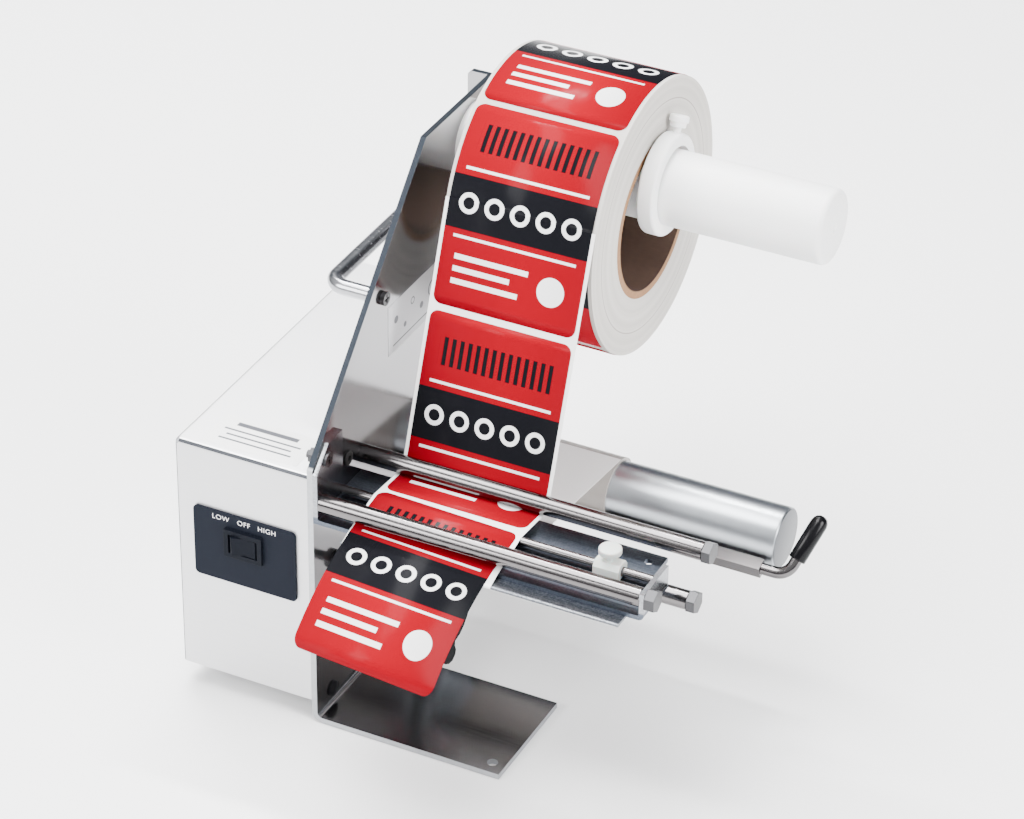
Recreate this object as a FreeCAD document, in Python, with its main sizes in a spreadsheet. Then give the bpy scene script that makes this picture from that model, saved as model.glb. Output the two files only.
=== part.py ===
import FreeCAD, Part
import Sketcher
import math
import os

doc = FreeCAD.newDocument("label_dispenser")
V = FreeCAD.Vector

# Driving sizes, in millimetres (angles in degrees). X = 0 is the right face of the upright side
# plate, Y = 0 its front edge, Z = 0 the bench.
SIZES = [
    ("plate_thick", 3.0), ("plate_height", 275.3),
    ("slope_low", 150.5), ("slope_back", 118.5), ("bend_inner", 3.0),
    ("foot_reach", 101.5), ("foot_depth", 65.5), ("foot_hole_r", 2.75),
    ("foot_hole_x", 94.4), ("foot_hole_y", 7.4),
    ("flange_reach", 11.0), ("flange_low", 150.0),
    ("case_width", 74.3), ("case_depth", 190.0), ("case_top", 146.6),
    ("case_floor", 12.5), ("case_sheet", 1.5), ("case_round", 2.5),
    ("strip_top", 123.0), ("strip_sheet", 2.5), ("strip_depth", 49.5),
    ("strip_edge", 166.0), ("ear_inner", 173.5), ("ear_depth", 27.5),
    ("ear_top", 135.5), ("left_ear_depth", 26.0), ("left_ear_top", 160.5),
    ("peel_left", 19.0), ("peel_reach", 8.0), ("peel_sheet", 1.5),
    ("rod_r", 4.76), ("rod_end", 184.5), ("stud_r", 2.5), ("bolt_head", 4.5),
    ("hex_flats", 10.0),
    ("upper_y", 50.3), ("upper_z", 132.0), ("front_y", 4.0), ("front_z", 131.0),
    ("guide_y", 25.0), ("guide_r", 2.4), ("return_y", 34.3), ("return_z", 113.6),
    ("hub_back", 25.0), ("hub_down", 23.8), ("hub_r", 19.0), ("hub_end", 195.0),
    ("core_r", 38.1), ("core_wall", 3.9), ("roll_r", 71.0), ("paper_width", 80.0),
    ("paper_left", 20.0), ("paper_thick", 0.2), ("label_inset", 1.9),
    ("drum_y", 136.0), ("drum_z", 89.0), ("drum_r", 16.0), ("drum_start", 3.0),
    ("drum_end", 192.0), ("wound_thick", 1.4), ("running", 0.05), ("soft_gap", 0.3),
    ("collar_r", 25.8), ("collar_width", 9.0), ("collar_gap", 1.3), ("collar_slack", 1.0),
    ("edge_guide_x", 140.0), ("edge_guide_w", 13.5), ("edge_guide_r", 5.0),
    ("sensor_y", 24.0), ("sensor_z", 84.0), ("sensor_r", 2.5), ("finger_x", 62.0),
    ("finger_w", 8.0), ("handle_y", 73.0), ("handle_pitch", 88.0), ("handle_down", 66.6),
    ("handle_off", 30.0), ("handle_r", 4.0), ("handle_bend", 9.0),
    ("switch_x", -38.3), ("switch_z", 91.4), ("switch_w", 57.4), ("switch_tall", 40.7),
    ("rocker_z", 95.9),
]
sheet = doc.addObject("Spreadsheet::Sheet", "Sizes")
for row, (name, value) in enumerate(SIZES, start=1):
    sheet.set("A%d" % row, name)
    sheet.set("B%d" % row, str(value))
    sheet.setAlias("B%d" % row, name)
doc.recompute()


class Size:
    """A number that carries the sheet expression it comes from."""

    def __init__(self, value, text):
        self.value = float(value)
        self.text = text

    def __add__(self, other):
        other = size(other)
        return Size(self.value + other.value, "(%s + %s)" % (self.text, other.text))

    def __radd__(self, other):
        return size(other) + self

    def __sub__(self, other):
        other = size(other)
        return Size(self.value - other.value, "(%s - %s)" % (self.text, other.text))

    def __rsub__(self, other):
        return size(other) - self

    def __mul__(self, other):
        other = size(other)
        return Size(self.value * other.value, "(%s * %s)" % (self.text, other.text))

    def __rmul__(self, other):
        return size(other) * self

    def __truediv__(self, other):
        other = size(other)
        return Size(self.value / other.value, "(%s / %s)" % (self.text, other.text))

    def __rtruediv__(self, other):
        return size(other) / self

    def __neg__(self):
        return Size(-self.value, "(0 - %s)" % self.text)


def size(item):
    if isinstance(item, Size):
        return item
    return Size(item, "(%r)" % float(item))


def root(item):
    return Size(math.sqrt(item.value), "sqrt(%s)" % item.text)


D = {}
for name, value in SIZES:
    D[name] = Size(value, "Sizes.%s" % name)
D["plate_depth"] = D["case_depth"] + D["plate_thick"]
D["hub_y"] = D["plate_depth"] - D["hub_back"]
D["hub_z"] = D["plate_height"] - D["hub_down"]
D["handle_z"] = D["plate_height"] - D["handle_down"]
D["collar_x"] = D["paper_left"] + D["paper_width"] + D["collar_gap"]


def bind(obj, path, item):
    item = size(item)
    obj.setExpression(path, item.text)


PLACED = {}


def place(obj, x, y, z, rotation=None):
    """Put an object's origin at x, y, z, with a fixed turn."""
    PLACED[obj.Name] = (x, y, z)
    base = V(size(x).value, size(y).value, size(z).value)
    obj.Placement = FreeCAD.Placement(base, rotation or FreeCAD.Rotation())
    bind(obj, "Placement.Base.x", x)
    bind(obj, "Placement.Base.y", y)
    bind(obj, "Placement.Base.z", z)


TURN_Y = FreeCAD.Rotation(V(0, 1, 0), 90)
TURN_X = FreeCAD.Rotation(V(1, 0, 0), -90)


def box(label, low, high):
    """A block between two corners."""
    obj = doc.addObject("Part::Box", label)
    place(obj, low[0], low[1], low[2])
    for prop, i in (("Length", 0), ("Width", 1), ("Height", 2)):
        bind(obj, prop, size(high[i]) - low[i])
    return obj


def rod(label, start, radius, length, axis="X"):
    """A round bar from start along an axis."""
    obj = doc.addObject("Part::Cylinder", label)
    turn = {"X": TURN_Y, "Y": TURN_X, "Z": None}[axis]
    place(obj, start[0], start[1], start[2], turn)
    bind(obj, "Radius", radius)
    bind(obj, "Height", length)
    return obj


def hexagon(label, start, flats, length, axis="X"):
    """A hexagonal bar from start along an axis."""
    obj = doc.addObject("Part::Prism", label)
    obj.Polygon = 6
    turn = {"X": TURN_Y, "Y": TURN_X, "Z": None}[axis]
    place(obj, start[0], start[1], start[2], turn)
    bind(obj, "Circumradius", size(flats) / math.sqrt(3.0))
    bind(obj, "Height", length)
    return obj


def fuse(label, shapes):
    obj = doc.addObject("Part::MultiFuse", label)
    obj.Shapes = shapes
    obj.Refine = True
    return obj


def cut(label, base, tools):
    tool = tools[0]
    if len(tools) > 1:
        tool = fuse(label + "_tools", tools)
    obj = doc.addObject("Part::Cut", label)
    obj.Base = base
    obj.Tool = tool
    obj.Refine = True
    return obj


def group(label, shapes):
    """Several separate solids that make one node."""
    obj = doc.addObject("Part::Compound", label)
    obj.Links = shapes
    return obj


def pin_coord(sketch, geo, point, across, item):
    """Hold one coordinate of a sketch point at a size."""
    item = size(item)
    kind = "DistanceX" if across else "DistanceY"
    if abs(item.value) < 1e-7:
        sketch.addConstraint(Sketcher.Constraint("PointOnObject", geo, point, -2 if across else -1))
        return
    if item.value > 0:
        number = sketch.addConstraint(
            Sketcher.Constraint(kind, -1, 1, geo, point, item.value))
        text = item.text
    else:
        number = sketch.addConstraint(
            Sketcher.Constraint(kind, geo, point, -1, 1, -item.value))
        text = "0 - %s" % item.text
    sketch.setExpression("Constraints[%d]" % number, text)


def draw(body, label, plane, loops=(), circles=(), offset=None):
    """A sketch of closed polygons and circles on one of the body's origin planes."""
    sketch = body.newObject("Sketcher::SketchObject", label)
    for feature in body.Origin.OriginFeatures:
        if feature.Role == plane:
            sketch.AttachmentSupport = [(feature, "")]
    sketch.MapMode = "FlatFace"
    if offset is not None:
        sketch.AttachmentOffset = FreeCAD.Placement(V(0, 0, size(offset).value), FreeCAD.Rotation())
        bind(sketch, "AttachmentOffset.Base.z", offset)
    for loop in loops:
        first = sketch.GeometryCount
        count = len(loop)
        spots = [V(size(a).value, size(b).value, 0) for a, b in loop]
        for i in range(count):
            sketch.addGeometry(Part.LineSegment(spots[i], spots[(i + 1) % count]), False)
        for i in range(count):
            nxt = first + (i + 1) % count
            sketch.addConstraint(Sketcher.Constraint("Coincident", first + i, 2, nxt, 1))
        for i, (a, b) in enumerate(loop):
            pin_coord(sketch, first + i, 1, True, a)
            pin_coord(sketch, first + i, 1, False, b)
    for a, b, radius in circles:
        geo = sketch.GeometryCount
        centre = V(size(a).value, size(b).value, 0)
        sketch.addGeometry(Part.Circle(centre, V(0, 0, 1), size(radius).value), False)
        number = sketch.addConstraint(Sketcher.Constraint("Radius", geo, size(radius).value))
        sketch.setExpression("Constraints[%d]" % number, size(radius).text)
        pin_coord(sketch, geo, 3, True, a)
        pin_coord(sketch, geo, 3, False, b)
    return sketch


def new_body(label):
    return doc.addObject("PartDesign::Body", label)


def pad(body, label, plane, length, loops=(), circles=(), offset=None, back=False):
    sketch = draw(body, label + "_sketch", plane, loops, circles, offset)
    feature = body.newObject("PartDesign::Pad", label)
    feature.Profile = sketch
    feature.Reversed = back
    bind(feature, "Length", length)
    doc.recompute()
    return feature


def pocket(body, label, plane, length, loops=(), circles=(), offset=None, back=False):
    """Take material away; the pocket must remove something."""
    before = body.Shape.Volume
    sketch = draw(body, label + "_sketch", plane, loops, circles, offset)
    feature = body.newObject("PartDesign::Pocket", label)
    feature.Profile = sketch
    feature.Reversed = back
    bind(feature, "Length", length)
    doc.recompute()
    if body.Shape.Volume >= before - 1e-6:
        raise RuntimeError("pocket %s removes nothing" % label)
    return feature


def turned(label, profile, at, rotation=None):
    """A body turned about its own X axis from (x, r) points, then placed."""
    body = new_body(label)
    sketch = draw(body, label + "_profile", "XY_Plane", [profile])
    feature = body.newObject("PartDesign::Revolution", label + "_turn")
    feature.Profile = sketch
    feature.ReferenceAxis = (sketch, ["H_Axis"])
    feature.Angle = 360
    place(body, at[0], at[1], at[2], rotation)
    doc.recompute()
    return body


def edges_where(feature, axis, test):
    """Names of the straight edges along an axis whose ends both pass a test."""
    found = []
    for i, edge in enumerate(feature.Shape.Edges, start=1):
        if len(edge.Vertexes) != 2 or edge.Curve.TypeId != "Part::GeomLine":
            continue
        along = edge.Vertexes[1].Point - edge.Vertexes[0].Point
        if abs(getattr(along, axis)) < along.Length * 0.999:
            continue
        if all(test(v.Point) for v in edge.Vertexes):
            found.append("Edge%d" % i)
    if not found:
        raise RuntimeError("no edge found on %s" % feature.Label)
    return found


def rounded(body, label, radius, *picks):
    """Round edges picked by axis and place; the rounding must change the solid."""
    before = body.Shape.Volume
    tip = body.Tip
    feature = body.newObject("PartDesign::Fillet", label)
    names = []
    for axis, test in picks:
        names += edges_where(tip, axis, test)
    feature.Base = (tip, names)
    bind(feature, "Radius", radius)
    doc.recompute()
    if abs(body.Shape.Volume - before) < 1e-6:
        raise RuntimeError("fillet %s changes nothing" % label)
    return feature


def near(a, b):
    return abs(a - size(b).value) < 1e-4


NODES = []


def node(label, obj):
    """Name the finished piece, shift it so that the foot's screw hole is the origin, keep it."""
    x, y, z = PLACED.get(obj.Name, (0, 0, 0))
    place(obj, size(x) - D["foot_hole_x"], size(y) - D["foot_hole_y"], z, obj.Placement.Rotation)
    obj.Label = label
    NODES.append((label, obj))
    return obj


def rect(a0, b0, a1, b1):
    return [(a0, b0), (a1, b0), (a1, b1), (a0, b1)]


P = D["plate_thick"]

# Upright side plate: one bent stainless sheet with a foot to the right and a rear flange.
plate = new_body("side_plate_body")
pad(plate, "upright", "YZ_Plane", P, back=True, loops=[[
    (0, 0), (D["foot_depth"], 0), (D["foot_depth"], D["case_floor"]),
    (D["plate_depth"], D["case_floor"]), (D["plate_depth"], D["plate_height"]),
    (D["slope_back"], D["plate_height"]), (0, D["slope_low"])]])
pad(plate, "foot", "XY_Plane", P, loops=[rect(-P, 0, D["foot_reach"], D["foot_depth"])])
flange_out = -P - D["flange_reach"]
pad(plate, "rear_flange", "XZ_Plane", P, offset=-D["plate_depth"], loops=[[
    (flange_out, D["flange_low"]), (-P / 2, D["flange_low"]), (-P / 2, D["plate_height"]),
    (flange_out + 2, D["plate_height"]), (flange_out, D["plate_height"] - 2)]])
rounded(plate, "foot_bend_inside", D["bend_inner"],
        ("y", lambda p: near(p.x, 0) and near(p.z, P)))
rounded(plate, "foot_bend_outside", D["bend_inner"] + P,
        ("y", lambda p: near(p.x, -P) and near(p.z, 0)))
rounded(plate, "flange_bend", P,
        ("z", lambda p: near(p.x, 0) and near(p.y, D["plate_depth"])))
handle_back = D["handle_y"] + D["handle_pitch"]
plug_y, plug_z, plug_r = 16.1, 10.3, 3.0
grommet_y, grommet_z, grommet_r = 35.3, 137.7, 3.0
ear_screw_y, ear_screw_z = 10.3, 152.6
bush_r = D["sensor_r"] + 2.0
bearing_r = 9.0
face_pitch = 9.5
pocket(plate, "plate_holes", "YZ_Plane", P * 2, circles=[
    (D["hub_y"], D["hub_z"], 4.0), (D["drum_y"], D["drum_z"], bearing_r),
    (D["upper_y"], D["upper_z"], D["stud_r"]), (D["return_y"], D["return_z"], D["stud_r"]),
    (D["front_y"], D["front_z"], D["stud_r"]), (D["sensor_y"], D["sensor_z"], bush_r),
    (D["handle_y"], D["handle_z"], 2.0), (handle_back, D["handle_z"], 2.0),
    (ear_screw_y, ear_screw_z, 2.0), (plug_y, plug_z, plug_r),
    (grommet_y, grommet_z, grommet_r)] + [
    (D["drum_y"] + a * face_pitch, D["drum_z"] + b * face_pitch, 1.6)
    for a, b in ((1, 1), (-1, 1), (-1, -1), (1, -1))])
pocket(plate, "bench_hole", "XY_Plane", P * 2, back=True,
       circles=[(D["foot_hole_x"], D["foot_hole_y"], D["foot_hole_r"])])
node("side_plate", plate)

# Case: a bent cover (front, top and left walls), a floor pan and a back panel.
C = D["case_sheet"]
case_left = -P - D["case_width"]
cover = new_body("case_cover_body")
pad(cover, "cover_block", "YZ_Plane", D["case_width"], offset=-P, back=True,
    loops=[rect(0, D["case_floor"], D["case_depth"], D["case_top"])])
rounded(cover, "cover_bends", D["case_round"],
        ("y", lambda p: near(p.x, case_left) and near(p.z, D["case_top"])),
        ("x", lambda p: near(p.y, 0) and near(p.z, D["case_top"])),
        ("z", lambda p: near(p.x, case_left) and near(p.y, 0)))
pocket(cover, "cover_inside", "YZ_Plane", D["case_width"] - C, offset=-P,
       loops=[rect(C, D["case_floor"] - 1, D["case_depth"] + 1, D["case_top"] - C)])
body_half_w, body_half_tall = 9.5, 6.5
pocket(cover, "switch_window", "XZ_Plane", C * 3, offset=-C * 2, loops=[rect(
    D["switch_x"] - body_half_w, D["rocker_z"] - body_half_tall,
    D["switch_x"] + body_half_w, D["rocker_z"] + body_half_tall)], back=True)
node("case_cover", cover)

floor_pan = new_body("case_floor_body")
pad(floor_pan, "floor_sheet", "XY_Plane", C, offset=D["case_floor"],
    loops=[rect(case_left + C, C, -P, D["case_depth"] - C)])
feet_spots = [(case_left + 14, 26.0), (-P - 14, 26.0),
              (case_left + 14, D["case_depth"] - 26), (-P - 14, D["case_depth"] - 26)]
board_spots = [(case_left + 10, 48.0), (-P - 12, 48.0), (case_left + 10, 118.0), (-P - 12, 118.0)]
pocket(floor_pan, "floor_holes", "XY_Plane", C * 3, offset=D["case_floor"] - C, back=True,
       circles=[(x, y, 2.0) for x, y in feet_spots] + [(x, y, 1.5) for x, y in board_spots])
node("case_floor", floor_pan)

inlet_x, inlet_z = -42.0, 38.0
back_panel = new_body("case_back_body")
pad(back_panel, "back_sheet", "XZ_Plane", C, offset=-D["case_depth"], loops=[rect(
    case_left + C, D["case_floor"], -P, D["case_top"] - C)])
vents = [rect(case_left + 16, D["case_top"] - 22 - 8 * i, -P - 16, D["case_top"] - 19 - 8 * i)
         for i in range(4)]
back_screws = [(case_left + 8, D["case_floor"] + 8), (-P - 8, D["case_floor"] + 8),
               (case_left + 8, D["case_top"] - 9), (-P - 8, D["case_top"] - 9)]
pocket(back_panel, "back_openings", "XZ_Plane", C * 3, offset=-D["case_depth"] - C,
       loops=vents, circles=[(inlet_x, inlet_z, 5.5)] + [(x, z, 1.5) for x, z in back_screws],
       back=True)
node("case_back", back_panel)

screws = []
for i, (x, z) in enumerate(back_screws):
    head = rod("back_screw_head_%d" % i, (x, D["case_depth"], z), 2.8, 1.8, "Y")
    shank = rod("back_screw_shank_%d" % i, (x, D["case_depth"] - 8, z), 1.5, 8, "Y")
    screws.append(fuse("back_screw_%d" % i, [head, shank]))
node("case_screws", group("case_screws_group", screws))

# Four rubber feet, each held by a screw through the floor pan.
feet = []
foot_screws = []
for i, (x, y) in enumerate(feet_spots):
    shape = turned("rubber_foot_%d" % i, [
        (0, 4.5), (0, 8.0), (1.0, 8.6), (D["case_floor"], 7.2), (D["case_floor"], 2.0),
        (4.0, 2.0), (4.0, 4.5)], (x, y, 0), FreeCAD.Rotation(V(0, 1, 0), -90))
    feet.append(shape)
    foot_screws.append(turned("foot_screw_%d" % i, [
        (0, 0), (0, 3.8), (2.4, 3.8), (2.4, 2.0), (15.0, 2.0), (15.0, 0)],
        (x, y, 1.6), FreeCAD.Rotation(V(0, 1, 0), -90)))
node("rubber_feet", group("rubber_feet_group", feet))
node("foot_screws", group("foot_screws_group", foot_screws))

# Switch: a dark rounded plate on the front, a moulded switch housing and its rocker.
W2 = D["switch_w"] / 2
T2 = D["switch_tall"] / 2
bezel_half_w, bezel_half_tall = 10.6, 7.8
switch_plate = new_body("switch_plate_body")
pad(switch_plate, "plate_sheet", "XZ_Plane", 1.5, loops=[rect(
    D["switch_x"] - W2, D["switch_z"] - T2, D["switch_x"] + W2, D["switch_z"] + T2)])
rounded(switch_plate, "plate_corners", 2.5, ("y", lambda p: (
    (near(p.x, D["switch_x"] - W2) or near(p.x, D["switch_x"] + W2))
    and (near(p.z, D["switch_z"] - T2) or near(p.z, D["switch_z"] + T2)))))
pocket(switch_plate, "plate_window", "XZ_Plane", 4, offset=-1, back=True, loops=[rect(
    D["switch_x"] - body_half_w, D["rocker_z"] - body_half_tall,
    D["switch_x"] + body_half_w, D["rocker_z"] + body_half_tall)])
node("switch_plate", switch_plate)

rocker_half_w, rocker_half_tall = 7.9, 5.0
switch_body = new_body("switch_body_body")
pad(switch_body, "bezel", "XZ_Plane", 2, offset=1.5, loops=[rect(
    D["switch_x"] - bezel_half_w, D["rocker_z"] - bezel_half_tall,
    D["switch_x"] + bezel_half_w, D["rocker_z"] + bezel_half_tall)])
pad(switch_body, "housing", "XZ_Plane", 17.5, offset=1.5, back=True, loops=[rect(
    D["switch_x"] - body_half_w, D["rocker_z"] - body_half_tall,
    D["switch_x"] + body_half_w, D["rocker_z"] + body_half_tall)])
pocket(switch_body, "well", "XZ_Plane", 10.5, offset=3.5, loops=[rect(
    D["switch_x"] - rocker_half_w - 0.2, D["rocker_z"] - rocker_half_tall - 0.3,
    D["switch_x"] + rocker_half_w + 0.2, D["rocker_z"] + rocker_half_tall + 0.3)])
pocket(switch_body, "pin_holes", "XY_Plane", rocker_half_tall * 2 + 2,
       offset=D["rocker_z"] - rocker_half_tall - 1, back=True,
       circles=[(D["switch_x"], 0.5, 1.0 + D["running"])])
for i, dx in enumerate((-6.0, 0.0, 6.0)):
    pad(switch_body, "terminal_%d" % i, "XZ_Plane", 8, offset=-15.8, back=True, loops=[rect(
        D["switch_x"] + dx - 0.4, D["rocker_z"] - 2.4,
        D["switch_x"] + dx + 0.4, D["rocker_z"] + 2.4)])
node("switch_body", switch_body)

rocker = new_body("rocker_body")
pad(rocker, "rocker_block", "XY_Plane", rocker_half_tall * 2,
    offset=D["rocker_z"] - rocker_half_tall, loops=[[
        (D["switch_x"] - 5.3, -5.4), (D["switch_x"] + 0.6, -3.0), (D["switch_x"] + 7.0, -3.3),
        (D["switch_x"] + 7.8, -0.7), (D["switch_x"] + 7.8, 1.5), (D["switch_x"] + 4.2, 4.6),
        (D["switch_x"] - 4.2, 4.6), (D["switch_x"] - 7.8, 1.5), (D["switch_x"] - 7.8, -0.7),
        (D["switch_x"] - 7.0, -3.3)]])
pad(rocker, "rocker_pins", "XY_Plane", rocker_half_tall * 2 + 1.6,
    offset=D["rocker_z"] - rocker_half_tall - 0.8,
    circles=[(D["switch_x"], 0.5, 1.0)])
node("rocker", rocker)

# Power inlet: a round socket through the back panel, held by a nut from inside.
TURN_XY = FreeCAD.Rotation(V(0, 0, 1), 90)
TURN_XZ = FreeCAD.Rotation(V(0, 1, 0), -90)
panel_in = D["case_depth"] - C
node("power_inlet", turned("power_inlet_body", [
    (0, 0), (0, 5.4), (14 + C, 5.4), (14 + C, 7.5), (15.5 + C, 7.5), (15.5 + C, 2.9),
    (4, 2.9), (4, 1.05), (13, 1.05), (13, 0)], (inlet_x, panel_in - 14, inlet_z), TURN_XY))
nut_block = hexagon("inlet_nut_block", (inlet_x, panel_in - 3, inlet_z), 14.0, 3, "Y")
nut_bore = rod("inlet_nut_bore", (inlet_x, panel_in - 4, inlet_z), 5.45, 5, "Y")
node("inlet_nut", cut("inlet_nut_ring", nut_block, [nut_bore]))

nuts = []
for i, (x, y) in enumerate(feet_spots):
    block = hexagon("foot_nut_block_%d" % i, (x, y, D["case_floor"] + C), 7.0, 2.4, "Z")
    bore = rod("foot_nut_bore_%d" % i, (x, y, D["case_floor"]), 2.0, 6, "Z")
    nuts.append(cut("foot_nut_%d" % i, block, [bore]))
node("foot_nuts", group("foot_nuts_group", nuts))

# Drive: gear motor on the left face of the side plate, its shaft carries the winding drum.
drum_at = (0, D["drum_y"], D["drum_z"])
shaft_r = 4.0
gearbox = turned("gearbox_body", [
    (-29, 0), (-29, 18), (-P, 18), (-P, bearing_r), (0, bearing_r), (0, shaft_r + D["running"]),
    (-12, shaft_r + D["running"]), (-12, 0)], drum_at)
corners = [(1, 1), (-1, 1), (-1, -1), (1, -1)]
pocket(gearbox, "gearbox_holes", "YZ_Plane", 7, offset=-P,
       circles=[(a * face_pitch, b * face_pitch, 1.5) for a, b in corners])
node("gearbox", gearbox)
face_screws = []
for i, (a, b) in enumerate(corners):
    y = D["drum_y"] + a * face_pitch
    z = D["drum_z"] + b * face_pitch
    face_screws.append(fuse("gearbox_screw_%d" % i, [
        rod("gearbox_screw_head_%d" % i, (0, y, z), 2.7, 1.6),
        rod("gearbox_screw_shank_%d" % i, (-9.5, y, z), 1.5, 9.5)]))
node("gearbox_screws", group("gearbox_screws_group", face_screws))
node("motor", turned("motor_body", [
    (-66, 0), (-66, 5), (-63, 5), (-63, 17.5), (-29, 17.5), (-29, 0)], drum_at))
tabs = [box("motor_tab_%d" % i, (-68, D["drum_y"] + dy - 1.5, D["drum_z"] - 0.4),
            (-63, D["drum_y"] + dy + 1.5, D["drum_z"] + 0.4)) for i, dy in enumerate((-11, 11))]
node("motor_terminals", group("motor_terminals_group", tabs))
node("output_shaft", turned("output_shaft_body", [
    (-11.9, 0), (-11.9, shaft_r), (22, shaft_r), (22, 0)], drum_at))

# Winding drum: flanged drive hub, tube, end cap, and the liner already wound on it.
tube_in = D["drum_r"] - 1.6
bar_half = 3.5
bar_off = D["drum_r"] + D["wound_thick"] + bar_half + D["running"]
bar_turn = FreeCAD.Rotation(V(1, 0, 0), 19.9)
flange_r = bar_off + 4.6
drum_hub = turned("drum_hub_body", [
    (D["drum_start"], shaft_r), (D["drum_start"], flange_r), (D["drum_start"] + 4, flange_r),
    (D["drum_start"] + 4, tube_in), (D["drum_start"] + 20, tube_in),
    (D["drum_start"] + 20, shaft_r)], drum_at, bar_turn)
pocket(drum_hub, "clamp_socket", "YZ_Plane", 8, offset=D["drum_start"] + 5,
       circles=[(-bar_off, 0, 2.5 + D["running"])])
node("drum_hub", drum_hub)
node("drum_tube", turned("drum_tube_body", [
    (D["drum_start"] + 4, tube_in), (D["drum_start"] + 4, D["drum_r"]),
    (D["drum_end"] - 2, D["drum_r"]), (D["drum_end"] - 2, tube_in)], drum_at))
node("drum_cap", turned("drum_cap_body", [
    (D["drum_end"] - 10, 0), (D["drum_end"] - 10, tube_in), (D["drum_end"] - 2, tube_in),
    (D["drum_end"] - 2, D["drum_r"]), (D["drum_end"] - 0.8, D["drum_r"]),
    (D["drum_end"], D["drum_r"] - 0.8), (D["drum_end"], 0)], drum_at))
paper_right = D["paper_left"] + D["paper_width"]
node("wound_liner", turned("wound_liner_body", [
    (D["paper_left"], D["drum_r"]), (D["paper_left"], D["drum_r"] + D["wound_thick"]),
    (paper_right, D["drum_r"] + D["wound_thick"]), (paper_right, D["drum_r"])], drum_at))

# Liner clamp: a square bar beside the drum that plugs into the flange, with a bent grip.
clamp_turn = 47.1
skew = math.radians(19.9 - clamp_turn)
clamp_y = D["drum_y"] - bar_off * math.cos(math.radians(19.9))
clamp_z = D["drum_z"] - bar_off * math.sin(math.radians(19.9))
square = [(bar_half * (a * math.cos(skew) - b * math.sin(skew)),
           bar_half * (a * math.sin(skew) + b * math.cos(skew)))
          for a, b in ((-1, -1), (1, -1), (1, 1), (-1, 1))]


def pipe(body, label, steps, radius, edges):
    """A round bar swept along lines and arcs in the body's XY plane, starting along X."""
    spine = body.newObject("Sketcher::SketchObject", label + "_path")
    for feature in body.Origin.OriginFeatures:
        if feature.Role == "XY_Plane":
            spine.AttachmentSupport = [(feature, "")]
    spine.MapMode = "FlatFace"
    order = []
    for i, step in enumerate(steps):
        ends = [V(size(a).value, size(b).value, 0) for a, b in step[1:3]]
        if step[0] == "line":
            spine.addGeometry(Part.LineSegment(ends[0], ends[1]), False)
            for point, (a, b) in ((1, step[1]), (2, step[2])):
                pin_coord(spine, i, point, True, a)
                pin_coord(spine, i, point, False, b)
        else:
            centre = V(size(step[3][0]).value, size(step[3][1]).value, 0)
            leftward = (ends[0] - centre).cross(ends[1] - centre).z > 0
            first, last = (ends[0], ends[1]) if leftward else (ends[1], ends[0])
            circle = Part.Circle(centre, V(0, 0, 1), (ends[0] - centre).Length)
            spine.addGeometry(Part.ArcOfCircle(
                circle, circle.parameter(first), circle.parameter(last)), False)
            order.append((i, 1, 2) if leftward else (i, 2, 1))
    for i, first, last in order:
        spine.addConstraint(Sketcher.Constraint("Tangent", i - 1, 2, i, first))
        spine.addConstraint(Sketcher.Constraint("Coincident", i, last, i + 1, 1))
    start = steps[0][1]
    profile = draw(body, label + "_section", "YZ_Plane", circles=[(start[1], 0, radius)],
                   offset=start[0])
    doc.recompute()
    feature = body.newObject("PartDesign::AdditivePipe", label)
    feature.Profile = profile
    feature.Spine = (spine, ["Edge%d" % (k + 1) for k in range(edges)])
    doc.recompute()
    return feature


clamp = new_body("clamp_body")
pad(clamp, "clamp_square", "YZ_Plane", 178, loops=[square], offset=10)
pad(clamp, "clamp_pin", "YZ_Plane", 5.6, circles=[(0, 0, 2.5)], offset=4.5)
bend_r = size(8.0)
lean = math.atan2(19.1, 5.0)
turn_x = 195.0 + bend_r.value * math.tan(lean / 2)
start_x = turn_x - bend_r.value * math.tan(lean / 2)
tip_in = bend_r.value * math.tan(lean / 2)
leg_a = (turn_x + tip_in * math.cos(lean), tip_in * math.sin(lean))
leg_b = (turn_x + 24 * math.cos(lean), 24 * math.sin(lean))
pipe(clamp, "clamp_rod", [
    ("line", (186, 0), (start_x, 0)), ("arc", (start_x, 0), leg_a, (start_x, bend_r)),
    ("line", leg_a, leg_b)], 3.0, 3)
place(clamp, 0, clamp_y, clamp_z, FreeCAD.Rotation(V(1, 0, 0), clamp_turn))
node("clamp_bar", clamp)
grip = turned("clamp_grip_body", [
    (9, 3.0), (9, 4.0), (9.6, 4.4), (30, 4.4), (32, 3.9), (33.4, 2.9), (34.2, 1.5), (34.4, 0),
    (24, 0), (24, 3.0)],
    (turn_x, clamp_y, clamp_z),
    FreeCAD.Rotation(V(1, 0, 0), clamp_turn).multiply(
        FreeCAD.Rotation(V(0, 0, 1), math.degrees(lean))))
node("clamp_grip", grip)

# Control board on four stand-offs above the floor pan.
floor_top = D["case_floor"] + C
board_low = floor_top + 6
board = new_body("control_board_body")
pad(board, "board_sheet", "XY_Plane", 1.6, offset=board_low,
    loops=[rect(case_left + 5, 42, -P - 7, 124)])
pocket(board, "board_holes", "XY_Plane", 3, offset=board_low - 0.5, back=True,
       circles=[(x, y, 1.5) for x, y in board_spots])
node("control_board", board)
posts = []
board_screws = []
for i, (x, y) in enumerate(board_spots):
    posts.append(cut("standoff_%d" % i, rod("standoff_post_%d" % i, (x, y, floor_top), 3.0, 6, "Z"),
                     [rod("standoff_bore_%d" % i, (x, y, floor_top - 1), 1.5, 8, "Z")]))
    board_screws.append(fuse("board_screw_%d" % i, [
        rod("board_screw_head_%d" % i, (x, y, board_low + 1.6), 2.7, 1.8, "Z"),
        rod("board_screw_shank_%d" % i, (x, y, D["case_floor"] + 0.5), 1.5, 8.6, "Z")]))
node("board_standoffs", group("board_standoffs_group", posts))
node("board_screws", group("board_screws_group", board_screws))
board_top = board_low + 1.6
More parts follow.
